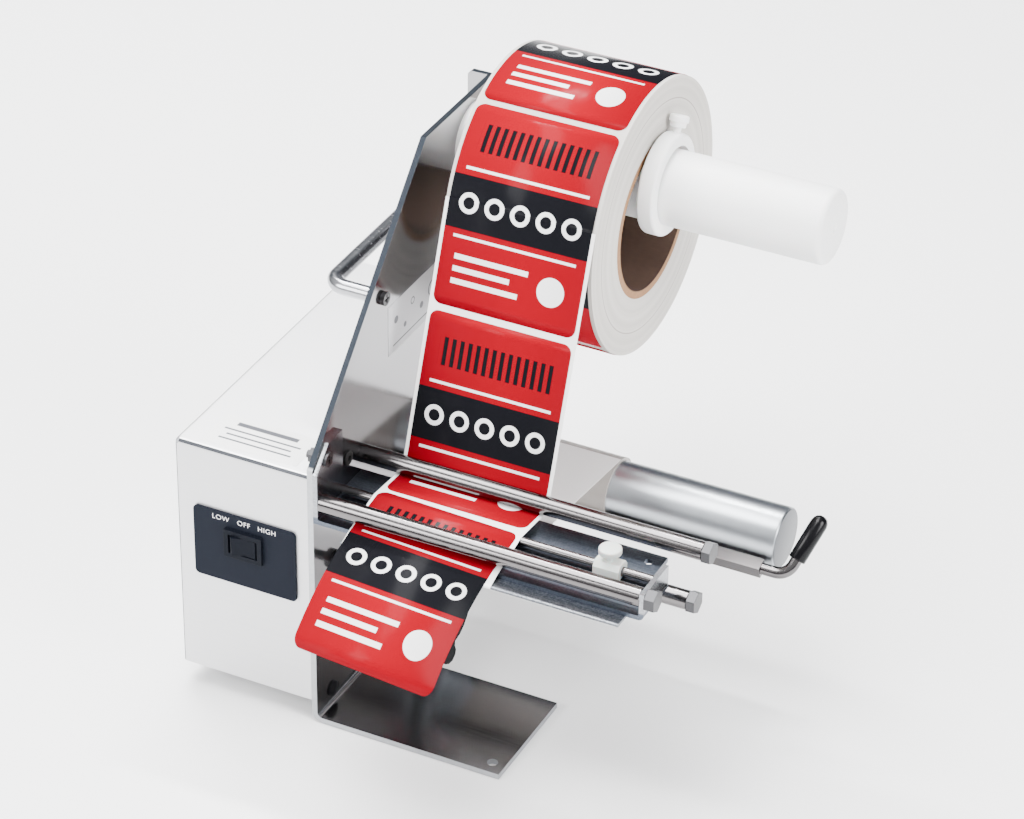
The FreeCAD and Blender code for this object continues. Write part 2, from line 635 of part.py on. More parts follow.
parts_on_board = [
    box("relay", (-66, 58, board_top), (-50, 76, board_top + 15)),
    box("connector", (-36, 46, board_top), (-18, 54, board_top + 9)),
    box("terminal_strip", (-46, 112, board_top), (-20, 120, board_top + 10)),
    box("regulator", (-24, 64, board_top), (-12, 68, board_top + 16)),
    box("heat_sink", (-24, 68.2, board_top), (-12, 76, board_top + 20)),
    box("controller_chip", (-42, 62, board_top), (-32, 82, board_top + 3.5)),
    rod("capacitor_a", (-58, 92, board_top), 6.5, 20, "Z"),
    rod("capacitor_b", (-42, 98, board_top), 5, 15, "Z"),
    rod("trimmer", (-20, 92, board_top), 3.5, 6, "Z"),
]
node("board_parts", group("board_parts_group", parts_on_board))

# Supply hub with its bolt, sliding collar and collar screw; the label roll hangs on it.
hub_at = (0, D["hub_y"], D["hub_z"])
hub_bore = 4.0
node("hub_tube", turned("hub_tube_body", [
    (0, hub_bore), (0, D["hub_r"]), (D["hub_end"] - 3, D["hub_r"]),
    (D["hub_end"] - 1.2, D["hub_r"] - 0.6), (D["hub_end"] - 0.3, D["hub_r"] - 1.6),
    (D["hub_end"], D["hub_r"] - 3), (D["hub_end"], 2.2), (D["hub_end"] - 0.8, 2.0),
    (D["hub_end"] - 0.8, 0), (30, 0), (30, hub_bore)], hub_at))
bolt_shank = rod("hub_bolt_shank", (-P - 3, D["hub_y"], D["hub_z"]), 4.0, 30 + P)
bolt_washer = rod("hub_bolt_washer", (-P - 1.6, D["hub_y"], D["hub_z"]), 8.0, 1.6)
bolt_head = hexagon("hub_bolt_head", (-P - 7.1, D["hub_y"], D["hub_z"]), 13.0, 5.5)
node("hub_bolt", fuse("hub_bolt_solid", [bolt_shank, bolt_washer, bolt_head]))
collar_lean = 24.8
collar_turn = FreeCAD.Rotation(V(1, 0, 0), -collar_lean)
# The screw lifts the collar until its bore bears on the hub from below.
collar_bore = D["hub_r"] + D["collar_slack"]
lift = D["collar_slack"] - D["running"]
collar_y = D["hub_y"] + lift * math.sin(math.radians(collar_lean))
collar_z = D["hub_z"] + lift * math.cos(math.radians(collar_lean))
collar = turned("hub_collar_body", [
    (0, collar_bore), (0, D["collar_r"] - 1.6), (0.5, D["collar_r"] - 0.5), (1.6, D["collar_r"]),
    (D["collar_width"] - 1.6, D["collar_r"]), (D["collar_width"] - 0.5, D["collar_r"] - 0.5),
    (D["collar_width"], D["collar_r"] - 1.6), (D["collar_width"], collar_bore)],
    (D["collar_x"], collar_y, collar_z), collar_turn)
pocket(collar, "collar_thread", "XY_Plane", 12, offset=D["hub_r"] - 1, back=True,
       circles=[(D["collar_width"] / 2, 0, 2.05)])
node("hub_collar", collar)
up_turn = collar_turn.multiply(FreeCAD.Rotation(V(0, 1, 0), -90))
node("hub_thumb_screw", turned("hub_thumb_screw_body", [
    (D["hub_r"] + 0.3, 0), (D["hub_r"] + 0.3, 2.0), (D["collar_r"] + 3.4, 2.0),
    (D["collar_r"] + 3.4, 4.0), (D["collar_r"] + 6.0, 4.0), (D["collar_r"] + 6.0, 4.9),
    (D["collar_r"] + 8.9, 4.9), (D["collar_r"] + 9.4, 4.4), (D["collar_r"] + 9.4, 0)],
    (D["collar_x"] + D["collar_width"] / 2, D["hub_y"], D["hub_z"]), up_turn))
roll_z = D["hub_z"] + D["hub_r"] + D["soft_gap"] - D["core_r"]
roll_at = (0, D["hub_y"], roll_z)
core_out = D["core_r"] + D["core_wall"]
node("supply_core", turned("supply_core_body", [
    (D["paper_left"], D["core_r"]), (D["paper_left"], core_out), (paper_right, core_out),
    (paper_right, D["core_r"])], roll_at))
node("supply_roll", turned("supply_roll_body", [
    (D["paper_left"], core_out), (D["paper_left"], D["roll_r"]), (paper_right, D["roll_r"]),
    (paper_right, core_out)], roll_at))


def cell(name, item):
    """Keep a worked-out size in the sheet, so longer sizes can use it by name."""
    global next_row
    sheet.set("A%d" % next_row, name)
    sheet.set("B%d" % next_row, "=" + item.text.replace("Sizes.", ""))
    sheet.setAlias("B%d" % next_row, name)
    next_row += 1
    return Size(item.value, "Sizes.%s" % name)


next_row = len(SIZES) + 1
strip_low = D["strip_top"] - D["strip_sheet"]
guide_z = cell("guide_z", D["strip_top"] + D["guide_r"] + 0.9)
T = D["paper_thick"]
rod_wrap = D["rod_r"] + D["running"]
nose_y = cell("nose_y", D["peel_sheet"] / 2 - D["peel_reach"])
nose_z = cell("nose_z", strip_low - D["peel_sheet"] / 2)
# The paper's way: circle centre, reach from it, and whether the label side faces away from it.
turns = [
    (D["hub_y"], cell("roll_axis_z", roll_z), D["roll_r"] + D["soft_gap"] + T, 1),
    (D["upper_y"], D["upper_z"], rod_wrap + T, -1),
    (D["guide_y"], guide_z, D["guide_r"] + D["running"] + T, 1),
    (size(0), D["strip_top"], D["running"] + T, 1),
    (nose_y, nose_z, D["peel_sheet"] / 2 + D["running"] + T, 1),
    (D["return_y"], D["return_z"], rod_wrap, -1),
    (D["drum_y"], D["drum_z"], D["drum_r"] + D["wound_thick"] + D["soft_gap"], -1),
]
sides = []
for i in range(len(turns) - 1):
    y0, z0, r0, k0 = turns[i]
    y1, z1, r1, k1 = turns[i + 1]
    dy = cell("span_%d_dy" % i, y1 - y0)
    dz = cell("span_%d_dz" % i, z1 - z0)
    q = cell("span_%d_q" % i, k0 * r0 - k1 * r1)
    long2 = cell("span_%d_long" % i, dy * dy + dz * dz)
    rest = cell("span_%d_rest" % i, root(long2 - q * q))
    sides.append((cell("span_%d_ny" % i, (q * dy + rest * dz) / long2),
                  cell("span_%d_nz" % i, (q * dz - rest * dy) / long2)))
doc.recompute()


def spot(turn, normal, lift):
    """A point of the paper's way: on one turn, with the label side's normal, lifted by lift."""
    y, z, r, k = turns[turn]
    return (y + normal[0] * (k * r + lift), z + normal[1] * (k * r + lift))


def between(first, second, share):
    y = first[0] * (1 - share) + second[0] * share
    z = first[1] * (1 - share) + second[1] * share
    reach = root(y * y + z * z)
    return (y / reach, z / reach)


def bend(turn, shares, middle=None):
    """Normals along one turn, from the span before it to the span after it."""
    first, second = sides[turn - 1], sides[turn]
    if middle is None:
        return [between(first, second, s) for s in shares]
    return ([between(first, middle, s) for s in shares] + [middle]
            + [between(middle, second, s) for s in shares])


def band(label, left, width, way, low, high):
    """A sheet of paper along a list of (turn, normal) steps, between two lifts."""
    face = [spot(turn, normal, high) for turn, normal in way]
    back = [spot(turn, normal, low) for turn, normal in way]
    body = new_body(label + "_body")
    pad(body, label, "YZ_Plane", width, offset=left, loops=[face + back[::-1]])
    return body


FINE = (0.2, 0.4, 0.6, 0.8)
way_in = [(0, sides[0]), (1, sides[0])] + [(1, n) for n in bend(1, FINE)] + [(1, sides[1])]
way_in += [(2, sides[1])] + [(2, n) for n in bend(2, (0.33, 0.67))] + [(2, sides[2])]
way_in += [(3, sides[2])] + [(3, n) for n in bend(3, FINE)] + [(3, sides[3]), (4, sides[3])]
nose_round = [(4, n) for n in bend(4, FINE, (Size(-1, "(-1)"), Size(0, "(0)")))] + [(4, sides[4])]
node("web_liner", band("web_liner_sheet", D["paper_left"], D["paper_width"],
                       way_in + nose_round, -T, 0))
way_back = [(4, sides[4]), (5, sides[4])] + [(5, n) for n in bend(5, (0.5,))]
way_back += [(5, sides[5]), (6, sides[5])]
node("liner_return", band("liner_return_sheet", D["paper_left"], D["paper_width"],
                          way_back, -T, 0))

# Labels on the web: one whole label, part of the next, and the one being given out.
label_left = D["paper_left"] + D["label_inset"]
label_width = D["paper_width"] - D["label_inset"] * 2
top_a = spot(0, sides[0], 0)
top_b = spot(1, sides[0], 0)
low_a = spot(1, sides[1], 0)
low_b = spot(2, sides[1], 0)


def mixed(first, second, share):
    return (first[0] * (1 - share) + second[0] * share,
            first[1] * (1 - share) + second[1] * share)


def raised(point, normal):
    return (point[0] + normal[0] * T, point[1] + normal[1] * T)


def label_sheet(label, lower, upper, spare=0):
    body = new_body(label + "_body")
    pad(body, label, "YZ_Plane", label_width + spare * 2, offset=label_left - spare,
        loops=[lower + upper[::-1]])
    return body


round_upper = [(1, sides[0])] + [(1, n) for n in bend(1, FINE)] + [(1, sides[1])]
gap_up, gap_down = 0.415, 0.39
gap_rear, gap_front = 0.73, 0.79
first_low = ([mixed(top_a, top_b, gap_up)] + [spot(a, n, 0) for a, n in round_upper]
             + [mixed(low_a, low_b, gap_rear)])
first_up = ([raised(mixed(top_a, top_b, gap_up), sides[0])]
            + [spot(a, n, T) for a, n in round_upper]
            + [raised(mixed(low_a, low_b, gap_rear), sides[1])])
next_low = [top_a, mixed(top_a, top_b, gap_down)]
next_up = [raised(p, sides[0]) for p in next_low]
node("web_labels", group("web_labels_group", [
    label_sheet("first_label", first_low, first_up),
    label_sheet("next_label", next_low, next_up)]))
given = [(2, sides[1])] + [(2, n) for n in bend(2, (0.33, 0.67))] + [(2, sides[2]), (3, sides[2])]
given += [(3, n) for n in bend(3, FINE)] + [(3, sides[3]), (4, sides[3])]
given_low = [mixed(low_a, low_b, gap_front)] + [spot(a, n, 0) for a, n in given]
given_up = [raised(mixed(low_a, low_b, gap_front), sides[1])] + [spot(a, n, T) for a, n in given]
y, z = given_low[-1]
step = 62.6 / 13
drop = 19.0
for i in range(13):
    drop += 2.1
    y = y - step * math.cos(math.radians(drop))
    z = z - step * math.sin(math.radians(drop))
    given_low.append((y, z))
    given_up.append((y - math.sin(math.radians(drop)) * T, z + math.cos(math.radians(drop)) * T))
given_sheet = label_sheet("dispensed_sheet", given_low, given_up, 4)
# It runs a little askew, towards the side plate: a slim frame is cut away around its outline.
skew = 2.5
given_rear = 28.0
given_long = 85.5
given_x = label_left + label_width / 2


def askew(across, along):
    turn = math.radians(skew)
    return (given_x + across * math.cos(turn) - along * math.sin(turn),
            given_rear - across * math.sin(turn) - along * math.cos(turn))


half = label_width / 2
corner = 4.5
outline = []
for across, along, first in ((1, 0, 270), (1, 1, 0), (-1, 1, 90), (-1, 0, 180)):
    middle_x = across * (half - corner)
    middle_y = given_long * along + (corner if along == 0 else -corner)
    for share in range(5):
        angle = math.radians(first + share * 22.5)
        outline.append(askew(middle_x + corner * math.cos(angle),
                             middle_y + corner * math.sin(angle)))
pocket(given_sheet, "given_outline", "XY_Plane", 80, offset=60, back=True,
       loops=[rect(label_left - 10, given_rear - 100, paper_right + 10, given_rear + 12), outline])
node("dispensed_label", given_sheet)

# Web bracket: one bent strip between two ears, and the peel plate welded under it.
S = D["strip_sheet"]
ear_out = D["ear_inner"] + S
strip = new_body("strip_bracket_body")
pad(strip, "strip_base", "XY_Plane", S, offset=strip_low, loops=[[
    (0, 0), (ear_out, 0), (ear_out, D["ear_depth"]), (D["strip_edge"], D["ear_depth"]),
    (D["strip_edge"], D["strip_depth"]), (0, D["strip_depth"])]])
pad(strip, "right_ear", "YZ_Plane", S, offset=D["ear_inner"],
    loops=[rect(0, strip_low, D["ear_depth"], D["ear_top"])])
pad(strip, "left_ear", "YZ_Plane", S, loops=[[
    (0, strip_low), (D["left_ear_depth"], strip_low), (D["left_ear_depth"], D["left_ear_top"]),
    (12, D["left_ear_top"]), (0, D["left_ear_top"] - 12)]])
rounded(strip, "strip_bends_inside", 1.0,
        ("y", lambda p: near(p.z, D["strip_top"]) and (near(p.x, S) or near(p.x, D["ear_inner"]))))
rounded(strip, "strip_bend_outside", 3.0,
        ("y", lambda p: near(p.z, strip_low) and near(p.x, ear_out)))
pocket(strip, "left_ear_holes", "YZ_Plane", S * 3, offset=S * 2, circles=[
    (D["front_y"], D["front_z"], D["stud_r"]), (ear_screw_y, ear_screw_z, 2.0)])
pocket(strip, "right_ear_hole", "YZ_Plane", S * 3, offset=ear_out + S,
       circles=[(D["front_y"], D["front_z"], D["stud_r"])])
pocket(strip, "strip_hole", "XY_Plane", S * 3, offset=strip_low - S, back=True,
       circles=[(159.2, 42.2, 2.25)])
node("strip_bracket", strip)
peel = new_body("peel_plate_body")
pad(peel, "peel_sheet", "XY_Plane", D["peel_sheet"], offset=strip_low - D["peel_sheet"],
    loops=[rect(D["peel_left"], -D["peel_reach"], 166.6, 20)])
rounded(peel, "peel_nose", 0.7, ("x", lambda p: near(p.y, -D["peel_reach"])))
node("peel_plate", peel)
node("ear_screw", group("ear_screw_group", [
    fuse("ear_screw_solid", [
        rod("ear_screw_head", (S, ear_screw_y, ear_screw_z), 3.7, 1.4),
        rod("ear_screw_shank", (-P - 5, ear_screw_y, ear_screw_z), 2.0, S + P + 6)]),
    cut("ear_nut", hexagon("ear_nut_block", (-P - 3.2, ear_screw_y, ear_screw_z), 7.0, 3.2),
        [rod("ear_nut_bore", (-P - 4, ear_screw_y, ear_screw_z), 2.05, 5)])]))

# Guide rods: bored ends take hexagon bolts; the front rod's left end is a riveted stud.
def bolt_bore(label, y, z, start):
    return rod(label, (start, y, z), D["stud_r"], 16)


def hex_bolt(label, y, z, face, into, head):
    """A hexagon bolt whose head lies on face; its shank goes into +X or -X."""
    if into > 0:
        start, tail = face - head, face - 1
    else:
        start, tail = face, face - 13
    return fuse(label, [hexagon(label + "_head", (start, y, z), D["hex_flats"], head),
                        rod(label + "_shank", (tail, y, z), D["stud_r"], 14 + P / 2)])


bolts = []
for name, y, z in (("upper_rod", D["upper_y"], D["upper_z"]),
                   ("return_rod", D["return_y"], D["return_z"])):
    bar = rod(name + "_bar", (0, y, z), D["rod_r"], D["rod_end"])
    node(name, cut(name + "_solid", bar, [bolt_bore(name + "_bore_l", y, z, -1),
                                          bolt_bore(name + "_bore_r", y, z, D["rod_end"] - 15)]))
    bolts.append(hex_bolt(name + "_left_bolt", y, z, -P, 1, 4.0))
    bolts.append(hex_bolt(name + "_right_bolt", y, z, D["rod_end"], -1, D["bolt_head"]))
y, z = D["front_y"], D["front_z"]
bar = rod("front_rod_bar", (S, y, z), D["rod_r"], D["ear_inner"] - S)
bored = cut("front_rod_bored", bar, [bolt_bore("front_rod_bore", y, z, D["ear_inner"] - 15)])
node("front_rod", fuse("front_rod_solid", [bored, rod("front_rod_stud", (-P, y, z), D["stud_r"],
                                                      P + S + 1)]))
bolts.append(hex_bolt("front_rod_bolt", y, z, ear_out, -1, 5.3))
node("rod_bolts", group("rod_bolts_group", bolts))
node("guide_rod", rod("guide_rod_bar", (S, D["guide_y"], guide_z), D["guide_r"],
                      D["ear_inner"] - S))

# Edge guide that slides on the thin rod, with its disc-headed screw.
edge_guide = new_body("edge_guide_body")
E = D["edge_guide_r"]
pad(edge_guide, "guide_block", "YZ_Plane", D["edge_guide_w"], offset=D["edge_guide_x"], loops=[[
    (D["guide_y"] - E, D["strip_top"] + 0.1), (D["guide_y"] + E, D["strip_top"] + 0.1),
    (D["guide_y"] + E, guide_z + E * 0.4), (D["guide_y"] + E * 0.6, guide_z + E * 0.9),
    (D["guide_y"] - E * 0.6, guide_z + E * 0.9), (D["guide_y"] - E, guide_z + E * 0.4)]])
pocket(edge_guide, "guide_bore", "YZ_Plane", D["edge_guide_w"] * 2,
       offset=D["edge_guide_x"] + D["edge_guide_w"] * 1.5,
       circles=[(D["guide_y"], guide_z, D["guide_r"] + D["running"])])
screw_x = D["edge_guide_x"] + D["edge_guide_w"] / 2
pocket(edge_guide, "guide_thread", "XY_Plane", 6, offset=guide_z, back=True,
       circles=[(screw_x, D["guide_y"], 1.55)])
node("edge_guide", edge_guide)
disc_low = guide_z + 8.6
node("edge_guide_screw", turned("edge_guide_screw_body", [
    (guide_z + 2.7, 0), (guide_z + 2.7, 1.5), (guide_z + 6.3, 1.5), (guide_z + 6.3, 2.6),
    (disc_low, 3.4), (disc_low, 5.7), (disc_low + 2.6, 5.7), (disc_low + 3.2, 5.0),
    (disc_low + 3.2, 0)], (screw_x, D["guide_y"], 0), FreeCAD.Rotation(V(0, 1, 0), -90)))

# Grommet, blanking plug, handle and handle screws on the side plate.
node("grommet", turned("grommet_body", [
    (-P - 1.5, 1.5), (-P - 1.5, grommet_r - 0.4), (0, grommet_r), (0, 3.75), (0.8, 3.75),
    (1.2, 3.3), (1.2, 1.5)], (0, grommet_y, grommet_z)))
node("blanking_plug", turned("blanking_plug_body", [
    (-P, 0), (-P, plug_r), (0, plug_r), (0, 4.25), (0.9, 4.25), (1.5, 3.4), (1.5, 0)],
    (0, plug_y, plug_z)))
handle = new_body("carry_handle_body")
bow = D["handle_bend"]
far = -D["handle_off"]
pipe(handle, "handle_bow", [
    ("line", (-P, D["handle_y"]), (far + bow, D["handle_y"])),
    ("arc", (far + bow, D["handle_y"]), (far, D["handle_y"] + bow),
     (far + bow, D["handle_y"] + bow)),
    ("line", (far, D["handle_y"] + bow), (far, handle_back - bow)),
    ("arc", (far, handle_back - bow), (far + bow, handle_back),
     (far + bow, handle_back - bow)),
    ("line", (far + bow, handle_back), (-P, handle_back))], D["handle_r"], 5)
pocket(handle, "handle_threads", "YZ_Plane", 10, offset=-P,
       circles=[(D["handle_y"], 0, 2.0), (handle_back, 0, 2.0)])
place(handle, 0, 0, D["handle_z"])
node("carry_handle", handle)
grips = []
for i, y in enumerate((D["handle_y"], handle_back)):
    grips.append(fuse("handle_screw_%d" % i, [
        rod("handle_screw_head_%d" % i, (0, y, D["handle_z"]), 3.6, 2.2),
        rod("handle_screw_shank_%d" % i, (-P - 9.5, y, D["handle_z"]), 2.0, P + 10)]))
node("handle_screws", group("handle_screws_group", grips))

# Label sensing lever: shaft in a bush, curved lever outside, cam and switch inside.
sense_at = (0, D["sensor_y"], D["sensor_z"])
sensor_run = D["sensor_r"] + D["running"]
finger_right = D["finger_x"] + D["finger_w"]
node("sensor_bush", turned("sensor_bush_body", [
    (-P - 2, sensor_run), (-P - 2, bush_r + 2), (-P, bush_r + 2), (-P, bush_r), (1.5, bush_r),
    (1.5, sensor_run)], sense_at))
node("sensor_shaft", group("sensor_shaft_group", [
    fuse("sensor_shaft_solid", [
        rod("sensor_pin", (-12, D["sensor_y"], D["sensor_z"]), D["sensor_r"], finger_right + 13),
        rod("sensor_stop", (1.6, D["sensor_y"], D["sensor_z"]), 5.0, 4.0)])]))
lever = new_body("sensor_lever_body")
outline = [(6, -3.5), (6.5, -9), (3.5, -13), (0, -16.5), (-4.5, -19), (-9.4, -19.9), (-9.6, -22.5),
           (-8.4, -25.5), (-9.2, -28), (-12, -30), (-16, -29.6), (-19.5, -27.5), (-21, -23),
           (-21.4, -16), (-20.5, -9), (-22, -1), (-28, 9), (-37, 20), (-46, 27.5), (-45, 29.3),
           (-43, 29), (-34, 23), (-24, 15), (-12, 8), (-3, 5.2), (3, 4.6)]
pad(lever, "lever_plate", "YZ_Plane", D["finger_w"], offset=D["finger_x"], loops=[outline])
pocket(lever, "lever_bore", "YZ_Plane", D["finger_w"] * 2, offset=finger_right + 2,
       circles=[(0, 0, D["sensor_r"])])
place(lever, 0, D["sensor_y"], D["sensor_z"])
node("sensor_lever", lever)
cam = new_body("sensor_cam_body")
pad(cam, "cam_disc", "YZ_Plane", 4.5, offset=-10, circles=[(0, 0, 6)])
pad(cam, "cam_lobe", "YZ_Plane", 4.5, offset=-10, loops=[rect(-8.5, -3, -2, 3)])
pocket(cam, "cam_bore", "YZ_Plane", 8, offset=-4, circles=[(0, 0, D["sensor_r"])])
place(cam, 0, D["sensor_y"], D["sensor_z"])
node("sensor_cam", cam)
micro_body = box("micro_switch_case", (-P - 6.4, D["sensor_y"] + 8, D["sensor_z"] - 5),
                 (-P, D["sensor_y"] + 28, D["sensor_z"] + 5.5))
micro_button = box("micro_switch_button", (-P - 4.4, D["sensor_y"] + 6.3, D["sensor_z"] - 1),
                   (-P - 2.6, D["sensor_y"] + 8.5, D["sensor_z"] + 1))
node("micro_switch", fuse("micro_switch_solid", [micro_body, micro_button]))

# Bare stickers.
node("path_sticker", box("path_sticker_sheet", (0, 78, 172), (0.15, 136, 200)))
node("notice_sticker", box("notice_sticker_sheet", (-65, 5, D["case_top"]),
                           (-12, 31, D["case_top"] + 0.15)))

# Write every piece.
doc.recompute()
for obj in doc.Objects:
    if "Invalid" in obj.State or "Error" in obj.State:
        raise RuntimeError("%s is %s" % (obj.Label, obj.State))
os.makedirs("parts", exist_ok=True)
for label, obj in NODES:
    shape = obj.Shape
    if shape.isNull() or not shape.isValid() or shape.Volume <= 0:
        raise RuntimeError("bad shape %s" % label)
    shape.exportStep(os.path.join("parts", label + ".step"))
    box_ = shape.BoundBox
    print(label, len(shape.Solids), round(shape.Volume), [round(v, 1) for v in (
        box_.XMin, box_.XMax, box_.YMin, box_.YMax, box_.ZMin, box_.ZMax)])
print(len(NODES))
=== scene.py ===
import math

import bmesh
import bpy
from mathutils import Matrix, Vector


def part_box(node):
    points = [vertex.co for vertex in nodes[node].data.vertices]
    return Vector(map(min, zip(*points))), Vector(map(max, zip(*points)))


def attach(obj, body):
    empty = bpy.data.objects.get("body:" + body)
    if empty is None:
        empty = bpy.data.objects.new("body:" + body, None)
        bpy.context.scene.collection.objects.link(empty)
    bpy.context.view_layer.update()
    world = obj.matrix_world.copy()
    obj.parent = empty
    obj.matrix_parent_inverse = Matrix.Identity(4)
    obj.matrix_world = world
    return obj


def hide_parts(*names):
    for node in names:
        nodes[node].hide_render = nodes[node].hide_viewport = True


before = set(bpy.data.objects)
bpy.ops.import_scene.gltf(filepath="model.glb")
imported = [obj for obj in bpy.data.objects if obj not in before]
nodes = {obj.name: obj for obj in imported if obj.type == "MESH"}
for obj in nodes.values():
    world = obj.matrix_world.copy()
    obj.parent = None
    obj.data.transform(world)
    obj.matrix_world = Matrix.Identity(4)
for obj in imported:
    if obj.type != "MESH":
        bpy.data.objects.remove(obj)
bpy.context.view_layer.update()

# The bench and the light: a pale floor, a soft white room with a dark patch behind the machine,
# and large soft lamps. The camera stands to the right and above, as in the photograph.
scene = bpy.context.scene
floor_mesh = bpy.data.meshes.new("bench_top")
work = bmesh.new()
bmesh.ops.create_grid(work, x_segments=1, y_segments=1, size=4.0)
work.to_mesh(floor_mesh)
work.free()
bench = bpy.data.objects.new("bench_top", floor_mesh)
bench.location.z = -0.0004
scene.collection.objects.link(bench)

turn, rise, tilt = 0.456694, 0.573993, 0.0122007
away = Vector((math.sin(turn) * math.cos(rise), -math.cos(turn) * math.cos(rise), math.sin(rise)))
right = Vector((math.cos(turn), math.sin(turn), 0))
upward = away.cross(right)
level_right = math.cos(tilt) * right + math.sin(tilt) * upward
level_up = -math.sin(tilt) * right + math.cos(tilt) * upward
aim_right, aim_up, distance = 0.0973885, 0.1562823, 1.9378285
origin_shift = Vector((0.0944, 0.0074, 0))
stand = level_right * aim_right + level_up * aim_up + away * distance
stand -= origin_shift
eye = bpy.data.cameras.new("photo_view")
eye.lens = 136.0686
eye.sensor_width = 36
eye.clip_start = 0.05
eye.clip_end = 50
camera = bpy.data.objects.new("photo_view", eye)
camera.matrix_world = Matrix((
    (level_right.x, level_up.x, away.x, stand.x),
    (level_right.y, level_up.y, away.y, stand.y),
    (level_right.z, level_up.z, away.z, stand.z),
    (0, 0, 0, 1)))
scene.collection.objects.link(camera)
scene.camera = camera


def lamp(name, place, aim, width, height, power):
    light = bpy.data.lights.new(name, "AREA")
    light.shape = "RECTANGLE"
    light.size = width
    light.size_y = height
    light.energy = power
    item = bpy.data.objects.new(name, light)
    item.location = place
    item.rotation_mode = "QUATERNION"
    item.rotation_quaternion = (Vector(aim) - Vector(place)).to_track_quat("-Z", "Y")
    scene.collection.objects.link(item)


lamp("front_left_box", (-1.3, -1.5, 1.3), (0, 0.05, 0.12), 1.1, 1.1, 62)
lamp("right_box", (1.7, -0.3, 1.1), (0, 0.08, 0.12), 0.9, 1.2, 70)
lamp("top_box", (-0.5, -0.1, 2.1), (-0.2, 0.05, 0.1), 1.8, 0.9, 105)
lamp("rear_strip", (-0.74, 0.9, 1.9), (-0.74, 0.12, 0.28), 1.6, 0.10, 90)


# Wire is one socket of a material's node tree: arithmetic on it adds Math nodes.
class Wire:
    def __init__(self, tree, socket):
        self.tree = tree
        self.socket = socket

    def node(self, kind, settings=None, values=None, out=0):
        """Add one node: its settings first, then its sockets' values or links."""
        made = self.tree.nodes.new(kind)
        for key, value in (settings or {}).items():
            if key == "stops":
                ramp = made.color_ramp
                while len(ramp.elements) < len(value):
                    ramp.elements.new(0.5)
                for element, (spot, colour) in zip(ramp.elements, value):
                    element.position = spot
                    element.color = (*colour, 1)
            else:
                setattr(made, key, value)
        for key, value in (values or {}).items():
            if isinstance(value, Wire):
                self.tree.links.new(value.socket, made.inputs[key])
            else:
                made.inputs[key].default_value = value
        return Wire(self.tree, made.outputs[out])

    def math(self, operation, *others):
        values = {0: self}
        for place, other in enumerate(others, start=1):
            values[place] = other
        return self.node("ShaderNodeMath", {"operation": operation}, values)

    def __add__(self, other):
        return self.math("ADD", other)

    __radd__ = __add__

    def __mul__(self, other):
        return self.math("MULTIPLY", other)

    __rmul__ = __mul__

    def __sub__(self, other):
        return self.math("SUBTRACT", other)

    def __rsub__(self, other):
        return (self * -1) + other

    def step(self, edge, soft):
        """0 below edge, 1 above it, with a soft rise."""
        return self.node("ShaderNodeMapRange", {"interpolation_type": "SMOOTHSTEP"}, {
            "Value": self, "From Min": edge - soft, "From Max": edge + soft})

    def between(self, low, high, soft):
        return self.step(low, soft) * (1 - self.step(high, soft))

    def axis(self, which):
        return self.node("ShaderNodeSeparateXYZ", None, {"Vector": self}, out=which)


def finish(name, colour, metal, rough, **fixed):
    """A Principled material; returns it, its wire for the object's coordinates and its shader."""
    material = bpy.data.materials.new(name)
    material.use_nodes = True
    tree = material.node_tree
    shader = next(n for n in tree.nodes if n.type == "BSDF_PRINCIPLED")
    shader.inputs["Base Color"].default_value = (*colour, 1)
    shader.inputs["Metallic"].default_value = metal
    shader.inputs["Roughness"].default_value = rough
    for key, value in fixed.items():
        shader.inputs[key.replace("_", " ")].default_value = value
    start = Wire(tree, None).node("ShaderNodeTexCoord", out="Object")
    return material, start, shader


def feed(shader, **wires):
    for key, wire in wires.items():
        wire.tree.links.new(wire.socket, shader.inputs[key.replace("_", " ")])


def mix(amount, first, second):
    """Colour mix; first and second are wires or plain colours."""
    made = amount.tree.nodes.new("ShaderNodeMix")
    made.data_type = "RGBA"
    amount.tree.links.new(amount.socket, made.inputs[0])
    for place, item in ((6, first), (7, second)):
        if isinstance(item, Wire):
            amount.tree.links.new(item.socket, made.inputs[place])
        else:
            made.inputs[place].default_value = (*item, 1)
    return Wire(amount.tree, made.outputs[2])


def noise(start, scale, detail=4.0, stretch=None):
    """Noise on the object's coordinates, in features per metre, stretched along an axis."""
    place = start
    if stretch is not None:
        place = start.node("ShaderNodeMapping", None, {"Vector": start, "Scale": stretch})
    return start.node("ShaderNodeTexNoise", None, {
        "Vector": place, "Scale": scale, "Detail": detail})


floor_paint, start, shader = finish("bench_white", (0.92, 0.92, 0.92), 0, 0.6)
feed(shader, Roughness=noise(start, 3.0) * 0.1 + 0.55)
bench.data.materials.append(floor_paint)

room = bpy.data.worlds.new("white_room")
room.use_nodes = True
scene.world = room
air = Wire(room.node_tree, None).node("ShaderNodeTexCoord", out="Generated")
height = air.axis(2)
shade = air.node("ShaderNodeValToRGB", {"stops": [
    (0.0, (0.40, 0.40, 0.41)), (0.49, (0.45, 0.45, 0.46)), (0.53, (0.12, 0.12, 0.13)),
    (0.60, (0.42, 0.42, 0.43)), (0.80, (0.70, 0.70, 0.71)), (1.0, (0.45, 0.46, 0.48))]},
    {"Fac": height * 0.5 + 0.5})
behind = air.axis(1).step(0.25, 0.20) * height.between(0.20, 0.88, 0.08)
shade = mix(behind, shade, (0.06, 0.07, 0.09))
backdrop = next(n for n in room.node_tree.nodes if n.type == "BACKGROUND")
room.node_tree.links.new(shade.socket, backdrop.inputs["Color"])
backdrop.inputs["Strength"].default_value = 1.6


